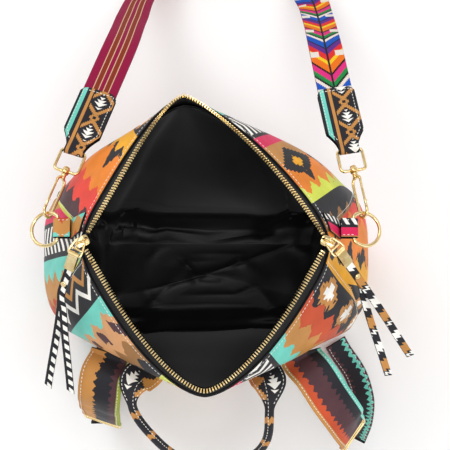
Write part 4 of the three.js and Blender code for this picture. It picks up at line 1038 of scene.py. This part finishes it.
for side, sign in SIDES.items():
    bar_place = place_of(side + "_ring_swing")
    x, y = np.array([sign * math.cos(RING_TILT), 0, -math.sin(RING_TILT)]), np.array([0, 1.0, 0])
    seat = (bar_place + x * bar_offset, x, y, np.cross(x, y))
    metal(side + "_ring_metal", seat, [ring_wire], side + "_ring", side + "_ring")
    tab_seat = (bar_place, y, np.array([-sign, 0, 0.0]), np.array([0, 0, sign * -1.0]))
    tab = seated(tab_seat, *tab_fold, bulge=0.3)
    look = leather(side + "_ring_tab_print", lambda across, down: banded(across + TAB_SHIFT[side], down))
    looks = [look, edge_paint]
    fix(piece(side + "_ring_tab_leather", tab, looks), "bag", "printed_leather", side + "_ring_tab")
    fine = (math.pi if side == "left" else 0.0) + np.linspace(-0.5, 0.5, 401)
    place, out = [], []
    for t in leaf_t:
        ring = body_point(np.full(401, t), fine)
        far = lengths(ring)
        angle = np.interp(np.interp(0.0, (ring[:, 1] - bar_place[1]) * sign, far) + leaf_y, far, fine)
        place.append(body_point(np.full(11, t), angle))
        out.append(body_normal(np.full(11, t), angle))
    place, out = np.stack(place), np.stack(out)
    cut = spread_out(leaf_y + FOLD_MIDDLE, leaf_t[:, None] * 240)
    leaf = sheet_parts(place + out * LEAF_FACE, place + out * LEAF_BACK, cut, bulge=0.3)
    fix(piece(side + "_ring_tab_leaf", leaf, looks), "bag", "printed_leather")
    for z in (1, -1):
        for edge in (-TAB_SEWING, TAB_SEWING):
            line = in_frame(tab_seat, spread_out(np.full(8, edge), np.linspace(0, 10, 8), z * TAB_FACE))
            sewing.append(stitch_line(line, tab_seat[3] * z, 3.0))
sew("ring_tab_stitches", sewing, "bag", "printed_leather", (2.2, 0.7, 0.5))


# Snap hooks: a long eye of bent gold wire on each ring, closed by a spring gate with a small knob.
# A turned neck at its foot swivels in the strap end's loop.

EYE, EYE_LENGTH = 5.5, 30
half_turn = np.linspace(0, math.pi, 18)
curve_y, curve_z = EYE * np.sin(half_turn), EYE * np.cos(half_turn)
eye_path = np.vstack([[(0, 3, EYE), (0, 1.5, EYE)], spread_out(0.0, -curve_y, curve_z),
                      [(0, 15, -EYE)], spread_out(0.0, EYE_LENGTH + curve_y, -curve_z)])
gate_path = spread_out(0.0, np.linspace(3.45, 29.2, 6), EYE)
knob_path = spread_out(np.linspace(0.6, 2.0, 3), 8.0, EYE)
neck = plate(lathe([(1.6, 34.0), (2.3, 34.8), (2.3, 36.2), (1.9, 36.9), (2.3, 37.6), (2.3, 39.3),
                    (1.9, 39.75), (1.5, 39.9), (1.5, 45.5), (2.2, 45.55), (2.7, 45.9), (2.7, 46.5),
                    (2.0, 46.95)], 20))
hook_shapes = [rod(eye_path, 1.3, (1, 0, 0)), neck]
gate_shapes = [rod(gate_path, 1.1, (1, 0, 0)), rod(knob_path, 0.55, (0, 0, 1))]


def swivel_seat(side, roll=0.0):
    swivel = side + "_hook_swivel"
    return seat_along(place_of(swivel), joints[swivel]["axis"], roll)


for side, sign in SIDES.items():
    seat = swivel_seat(side, sign * math.radians(30))
    metal(side + "_hook_metal", seat, hook_shapes, side + "_hook", side + "_hook")
    metal(side + "_gate_metal", seat, gate_shapes, side + "_gate", side + "_hook_gate")


# Strap end loops: a rectangle of bent gold wire, one at each end of the shoulder strap. Its ends are
# fixed in a turned boss that the hook's neck runs through.

BOSS_MIDDLE, LOOP_BAR, LOOP_HALF = 42.65, 64.65, 10.9
boss = np.stack(lathe([(1.85, 40.15), (2.9, 40.15), (3.4, 40.7), (3.4, 44.6), (2.9, 45.15), (1.85, 45.15),
                       (1.85, 40.15)], 24))
wire = fillet([(2.6, BOSS_MIDDLE, 0), (LOOP_HALF, BOSS_MIDDLE, 0), (LOOP_HALF, LOOP_BAR, 0),
               (-LOOP_HALF, LOOP_BAR, 0), (-LOOP_HALF, BOSS_MIDDLE, 0), (-2.6, BOSS_MIDDLE, 0)], 4.0, False)
loop_shapes = [rod(wire, 1.4, (0, 0, 1)), boss]
end_seats = {side: swivel_seat(side) for side in SIDES}
for side, seat in end_seats.items():
    metal(side + "_loop_metal", seat, loop_shapes, "strap", side + "_hook_loop")


# Strap ends: printed leather folded round each wire loop, narrow at the fold, with the webbing sewn
# between its two leaves by a box of pale stitches.

def stepped_lozenges(across, down):
    """Charcoal with a teal and a tan stripe, tan stepped lozenges and pale torn leaves."""
    paint = mixed(between(across, -14.6, -10.6), CHARCOAL, TEAL)
    paint = mixed(between(across, -7.4, -4.6), paint, TAN)
    aside, patterned = abs(across - 5.0), across > -3.4
    row, next_row = (abs(wrap(down + start, 34.0) - 17.0) for start in (0.0, 17.0))
    steps, next_steps = (step_down(aside, 1.5) + step_down(way, 1.5) for way in (row, next_row))
    paint = mixed(patterned * between(steps, 10.0, 13.6), paint, TAN)
    leaf = pingpong(aside * 0.6 + down, 2.0) * 2.4 + aside + row * 0.55
    paint = mixed(leaf < 6.2, paint, WHITE)
    paint = mixed(patterned * (next_steps < 4.2), paint, TAN)
    return mixed(next_steps < 1.4, paint, CHARCOAL)


def end_half(y):
    return 8.5 + 8.0 * np.clip((y - 3.4) / 16.6, 0, 1) ** 1.4


SEWING_INSET, END_FACE = 2.6, 2.7
up = np.linspace(10, 65, 30)
box_x = np.concatenate([end_half(up) - SEWING_INSET, SEWING_INSET - end_half(up[::-1])])
box_y = np.concatenate([up, up[::-1]])
end_fold = folded(clear=2.1, thickness=1.4, leg_gap=2.5, length=68, half_width=end_half, across=25,
                  tip_round=5.0)
sewing = []
for side, drop in (("left", 4.0), ("right", 17.0)):
    origin, x, y, z = end_seats[side]
    seat = (origin + y * LOOP_BAR, x, y, z)
    leaf = seated(seat, *end_fold, bulge=0.35)
    looks = [leather(side + "_strap_end_print",
                     lambda across, down: stepped_lozenges(across - FOLD_MIDDLE, down + drop)), edge_paint]
    fix(piece(side + "_strap_end_leather", leaf, looks), "strap", "printed_leather", side + "_strap_end")
    for way in (1, -1):
        line = in_frame(seat, spread_out(box_x, box_y, way * END_FACE))
        sewing.append(stitch_line(line, z * way))
sew("strap_end_stitches", sewing, "strap", "printed_leather")


# Shoulder strap: flat woven webbing with a half turn in it, maroon with rust stripes on one face
# and a bright diagonal jacquard on the other. Both ends are sewn into the leather strap ends.

def smooth_route(points, steps=40):
    """A centripetal curve through the points."""
    points = np.array(points, float)
    padded = np.vstack([2 * points[0] - points[1], points, 2 * points[-1] - points[-2]])
    path = []
    for i in range(1, len(padded) - 2):
        p = padded[i - 1:i + 3]
        d = [max(np.sum((p[k + 1] - p[k]) ** 2) ** 0.25, 1e-4) for k in range(3)]
        first = ((p[1] - p[0]) / d[0] - (p[2] - p[0]) / (d[0] + d[1]) + (p[2] - p[1]) / d[1]) * d[1]
        second = ((p[2] - p[1]) / d[1] - (p[3] - p[1]) / (d[1] + d[2]) + (p[3] - p[2]) / d[2]) * d[1]
        path += [curve(p[1], p[2], first, second, s) for s in np.linspace(0, 1, steps, endpoint=False)]
    return np.array(path + [points[-1]])


def evenly(path, count):
    far = lengths(path)
    return read_at(np.linspace(0, far[-1], count), far, path)


def webbing(name, stripes, design):
    def looks(tree):
        across, down = cut_sizes(tree)
        weave = reckon("SINE", down * (2 * math.pi / 1.5)) * reckon("SINE", across * (2 * math.pi / 1.1))
        shade = fade(weave * 0.2 + 0.5, (0.78, 0.78, 0.78, 1), (1.12, 1.12, 1.12, 1))
        paint = design(across, down, stripes, sum(width for width, _ in stripes))
        return {"Base Color": mixed(1.0, paint, shade, "MULTIPLY"), "Roughness": 0.82,
                "Specular IOR Level": 0.15, "Normal": relief(tree, weave, 0.5, 0.0004)}
    return surface(name, looks)


def lengthwise(across, down, stripes, total):
    return striped((across + total / 2) / total, stripes)


def jacquard(across, down, stripes, total):
    paint = striped(fract((step_down(abs(across), 1.3) * 1.15 + down) / total), stripes)
    paint = mixed((fract(down / 47.0) < 0.16) * (abs(across) > 7.5), paint, colour(236, 226, 214))
    return mixed(abs(across) < 0.9, paint, colour(40, 38, 44))


MAROON, STRIPE, PALE_LINE = colour(150, 26, 68), colour(140, 56, 36), colour(222, 180, 150)
BLACK_LINE = colour(30, 28, 34)
maroon_face = webbing("maroon_webbing", [
    (7.6, MAROON), (0.8, PALE_LINE), (4.2, STRIPE), (0.8, PALE_LINE), (3.7, MAROON), (0.8, PALE_LINE),
    (4.2, STRIPE), (0.8, PALE_LINE), (7.6, MAROON)], lengthwise)
bright_face = webbing("jacquard_webbing", [
    (10, colour(28, 88, 190)), (2, BLACK_LINE), (8, colour(98, 48, 140)), (9, colour(226, 50, 48)),
    (5, colour(246, 206, 40)), (10, colour(240, 118, 30)), (3, BLACK_LINE), (8, colour(226, 50, 130)),
    (6, colour(36, 140, 70)), (3, BLACK_LINE), (5, colour(240, 226, 214))], jacquard)
webbing_edge = woven("webbing_edge", colour(120, 30, 62), 1.2, 0.85)
WEBBING_THICK, WEBBING_HALF, SEWN_HALF = 1.8, 15.25, 11.8
FLOOR_EDGE, STRAP_STEPS = 15.65, 420


def beyond(side, *distances):
    return [end_seats[side][0] + end_seats[side][2] * distance for distance in distances]


strap_route = beyond("left", 78.65, 102.65, 144.65) + [
    (-79, 182, 174), (-74, 232, 114), (-67, 282, 54), (-46, 322, FLOOR_EDGE + 3), (-8, 352, FLOOR_EDGE),
    (36, 358, FLOOR_EDGE), (80, 332, FLOOR_EDGE + 3), (102, 284, 50), (107, 232, 112),
    (109, 182, 168)] + beyond("right", 138.65, 102.65, 78.65)
path = evenly(smooth_route(strap_route), STRAP_STEPS)
half_twist = math.pi * eased(np.linspace(0, 1, STRAP_STEPS), 0.22, 0.56)
from_end = np.minimum(lengths(path), lengths(path[::-1])[::-1])
half = SEWN_HALF + (WEBBING_HALF - SEWN_HALF) * np.clip(from_end / 12, 0, 1)
parts = sheet_parts(*strap_faces(path, half, WEBBING_THICK, 17, half_twist), bulge=0.3)
parts[2:] = [(grid, cut, 2, closed) for grid, cut, _, closed in parts[2:]]
made = piece("shoulder_webbing", parts, [maroon_face, bright_face, webbing_edge])
fix(made, "strap", "webbing", "shoulder_strap")


# Carry handle: printed leather tabs on the back panel that narrow into one rolled grip, with a line
# of pale stitches along the roll's seam.

TAB_WIDE, TAB_THICK, TAB_LENGTH, NARROWING = 15.5, 1.6, 20.0, 28.0
GRIP, TAB_INSET = 4.0, 2.4


def back_anchor(x, z):
    """The place on the back panel that is nearest to x and z, and the way out of it."""
    t = np.arange(0.4, 0.9501, 0.005)
    angle = np.arange(math.pi + 0.3, 2 * math.pi - 0.3, 0.01)
    points = body_point(t[:, None], angle)
    miss = np.hypot(points[..., 0] - x, points[..., 2] - z)
    row, column = np.unravel_index(np.argmin(miss), miss.shape)
    return body_point(t[row], angle[column]), body_normal(t[row], angle[column])


def anchored(anchor, rows):
    place, normal = anchor
    return [place + normal * 0.5, place + normal * 6] + [place + np.array(row) for row in rows]


def leaf_and_stair(across, down):
    """Charcoal with a tan stair and a pale torn leaf on each tab, and tan patches along the grip."""
    stair = step_down(pingpong(down, 9.0), 2.2) + 3.0
    paint = mixed((across > stair) * (down < 38.0), CHARCOAL, TAN)
    aside = abs(across + 4.0)
    leaf = abs(down - 25.0) * 0.6 + pingpong(aside * 0.6 + down, 2.0) * 2.0 + aside
    paint = mixed(leaf < 6.5, paint, WHITE)
    patch = (wrap(pingpong(across, 2.0) * 1.5 + down, 27.0) < 6.0) * (down > 44.0)
    return mixed(patch, paint, TAN)


right, left = (back_anchor(x, BODY_HEIGHT - 84) for x in (48.5, -48.5))
route = anchored(right, [(5.7, -19.6, 8.3), (5.7, -42.6, 4.3), (3.7, -64.6, -19.7), (-13.3, -78.6, -57.7)])
route.append((right[0] + left[0]) / 2 + np.array([9, -83.7, -73.7]))
route += anchored(left, [(-13, -19.8, 8.3), (-14, -38.8, 0.3), (5, -63.8, -27.7), (29, -78.8, -59.7)])[::-1]
path = evenly(smooth_route(route), 260)
way, face = strap_axes(path)
far = lengths(path)
from_end = np.minimum(far, far[-1] - far)[:, None]
narrow = eased(from_end, TAB_LENGTH, NARROWING)
half_wide, half_thick = TAB_WIDE + (GRIP - TAB_WIDE) * narrow, TAB_THICK + (GRIP - TAB_THICK) * narrow
turn = np.linspace(0, 2 * math.pi, 41)
squared = lambda v: np.sign(v) * np.abs(v) ** (0.35 + 0.65 * narrow)
wide, thick = half_wide * squared(np.cos(turn)), half_thick * squared(np.sin(turn))
grid = (path[:, None] + way[:, None] * wide[..., None] + face[:, None] * thick[..., None])[:, :-1]
grid = np.concatenate([np.repeat(path[:1, None], 40, 1), grid, np.repeat(path[-1:, None], 40, 1)])
cut = spread_out(wide, from_end)
cut = np.concatenate([cut[:1], cut, cut[-1:]])
made = piece("handle_leather", [(grid, cut, 0, True)], [leather("handle_print", leaf_and_stair)])
fix(made, "bag", "dark_leather", "carry_handle")
rolled = from_end[:, 0] > TAB_LENGTH
seam_line = path + face * half_thick * 0.94 + way * half_wide * 0.25
sewing = [stitch_line(seam_line[rolled], unit(face + way * 0.3)[rolled])]
for tab in (slice(4, 34), slice(226, 256)):
    for edge in (-1, 1):
        line = path + face * half_thick * 0.97 + way * (half_wide - TAB_INSET) * edge
        sewing.append(stitch_line(line[tab], face[tab]))
sew("handle_stitches", sewing, "bag", "dark_leather")


# Back straps: wide, lightly padded straps of printed leather from the back panel down to a gold
# slider, bound along both edges and stitched beside the binding.

STRAP_HALF, STRAP_THICK, STRAP_CROWN, SLIDER_REACH = 18.2, 3.0, 0.75, 10.2
STRAPS = {
    "right": {"root": 82, "rows": [(11.3, -18.5, 7.8), (26, -39, -3), (43, -57, -32), (50, -62, -70)],
              "bindings": (TEAL, TAN), "stripes": [(12, CHARCOAL), (15, PLUM), (20, RUST), (13, BROWN)]},
    "left": {"root": -82, "rows": [(-8, -20, 5.7), (-11, -38, -5), (-13, -46, -36), (-14, -49, -72)],
             "bindings": (colour(150, 160, 60), TAN),
             "stripes": [(9, PLUM), (14, CHARCOAL), (17, TAN), (20, TAN)]},
}


def torn_stripes(name, stripes, shift):
    """Leather printed with stripes along the piece, each with a torn edge."""
    def design(across, down):
        across = across + shift
        place = output(across.tree, "ShaderNodeCombineXYZ", {"X": across, "Y": down})
        saw = noise(across.tree, 0.3, 2.0, place) * 6.0 + pingpong(down, 3.5)
        total = sum(width for width, _ in stripes)
        return striped(wrap(across + saw, total) / total, stripes)
    return leather(name, design)


def edge_sewing(path, aside, lift):
    way, face = strap_axes(path)
    return [stitch_line(path + way * (edge * aside) + face * lift, face, trim=2) for edge in (-1, 1)]


binding_edge = fillet([(-1.3, 2.0), (0.55, 1.6), (0.55, -1.6), (-1.3, -2.0)], 1.0, False, 6)
binding_ring = np.vstack([[(-3.2, 2.35)], binding_edge, [(-3.2, -2.35), (-3.2, 0)]])
slider_seats = {}
sewing = []
for side, strap in STRAPS.items():
    route = anchored(back_anchor(strap["root"], BODY_HEIGHT - 90), strap["rows"])
    path = evenly(smooth_route(route), 90)
    way, face = strap_axes(path)
    outer, inner, cut = strap_faces(path, STRAP_HALF, STRAP_THICK, 33, crown=STRAP_CROWN)
    pulled = bump_of((lengths(path)[:, None] % 26) - 13, 9) * (1 - np.linspace(-1, 1, 33) ** 2) * 0.25
    parts = sheet_parts(outer + face[:, None] * pulled[..., None], inner, cut + 40, bulge=0.3)
    looks = [torn_stripes(side + "_back_strap_print", strap["stripes"], -26.0), edge_paint]
    made = piece(side + "_back_strap_leather", parts, looks)
    fix(made, "bag", "printed_leather", side + "_back_strap")
    for edge, mark, tone in zip((-1, 1), "ab", strap["bindings"]):
        look = leather(f"{side}_binding_{mark}", tone)
        grid = ((path + way * (STRAP_HALF * edge))[:, None] + way[:, None] * (binding_ring[:, :1] * edge)
                + face[:, None] * binding_ring[:, 1:])
        grid = plate(list(grid))
        bind = piece(f"{side}_binding_{mark}_leather", [(grid, no_cut(grid, True), 0, True)], [look])
        fix(bind, "bag", "printed_leather")
    sewing += edge_sewing(path, aside=16.2, lift=2.35)
    ahead = unit(route[-1] - route[-2])
    slider_seats[side] = seat_along(route[-1] + ahead * SLIDER_REACH, ahead)
sew("back_strap_stitches", sewing, "bag", "printed_leather")


# Strap sliders: rectangular frames of bent gold wire with a middle bar. Each joins a wide strap to
# its narrow lower strap.

slider_frame = fillet([(-17, -8, 0), (17, -8, 0), (17, 8, 0), (-17, 8, 0)], 3.0)
cross_bar = spread_out(np.linspace(-17, 17, 6), 0.0, 0.0)
frame_shapes = [rod(slider_frame, 1.5, (0, 0, 1), closed=True), rod(cross_bar, 1.2, (0, 0, 1))]
for side, seat in slider_seats.items():
    metal(side + "_strap_slider_metal", seat, frame_shapes, "bag", side + "_strap_slider")


# Lower straps: narrow dark printed leather, one layer thick, from each strap slider back to the base
# corner, with a row of stitches along both edges.

LOWER_HALF, LOWER_THICK = 11.0, 2.4
LOWER_STRIPES = [(9, PLUM), (12, CHARCOAL), (4, TEAL)]
LOWER_ROWS = {
    "right": [(6, -82, 40), (10, -58, 12), (4, -34, 4), (-10, -12, 4), (-15, -4, 9)],
    "left": [(44, -74, 34), (42, -46, 6), (41, -22, 3), (41, -7, 4.5), (41, -1.4, 9)],
}
sewing = []
for side, rows in LOWER_ROWS.items():
    foot = np.array([SIDES[side] * BASE_WIDE, -BASE_DEEP, 0])
    origin, _, ahead, _ = slider_seats[side]
    path = evenly(smooth_route([origin + ahead * SLIDER_REACH] + [foot + np.array(row) for row in rows]), 120)
    outer, inner, cut = strap_faces(path, LOWER_HALF, LOWER_THICK, 11)
    parts = sheet_parts(outer, inner, cut + 20, bulge=0.3)
    looks = [torn_stripes(side + "_lower_strap_print", LOWER_STRIPES, -9.0), edge_paint]
    made = piece(side + "_lower_strap_leather", parts, looks)
    fix(made, "bag", "dark_leather", side + "_lower_strap")
    sewing += edge_sewing(path, aside=8.8, lift=LOWER_THICK / 2)
sew("lower_strap_stitches", sewing, "bag", "dark_leather", (2.5, 0.7, 0.5))
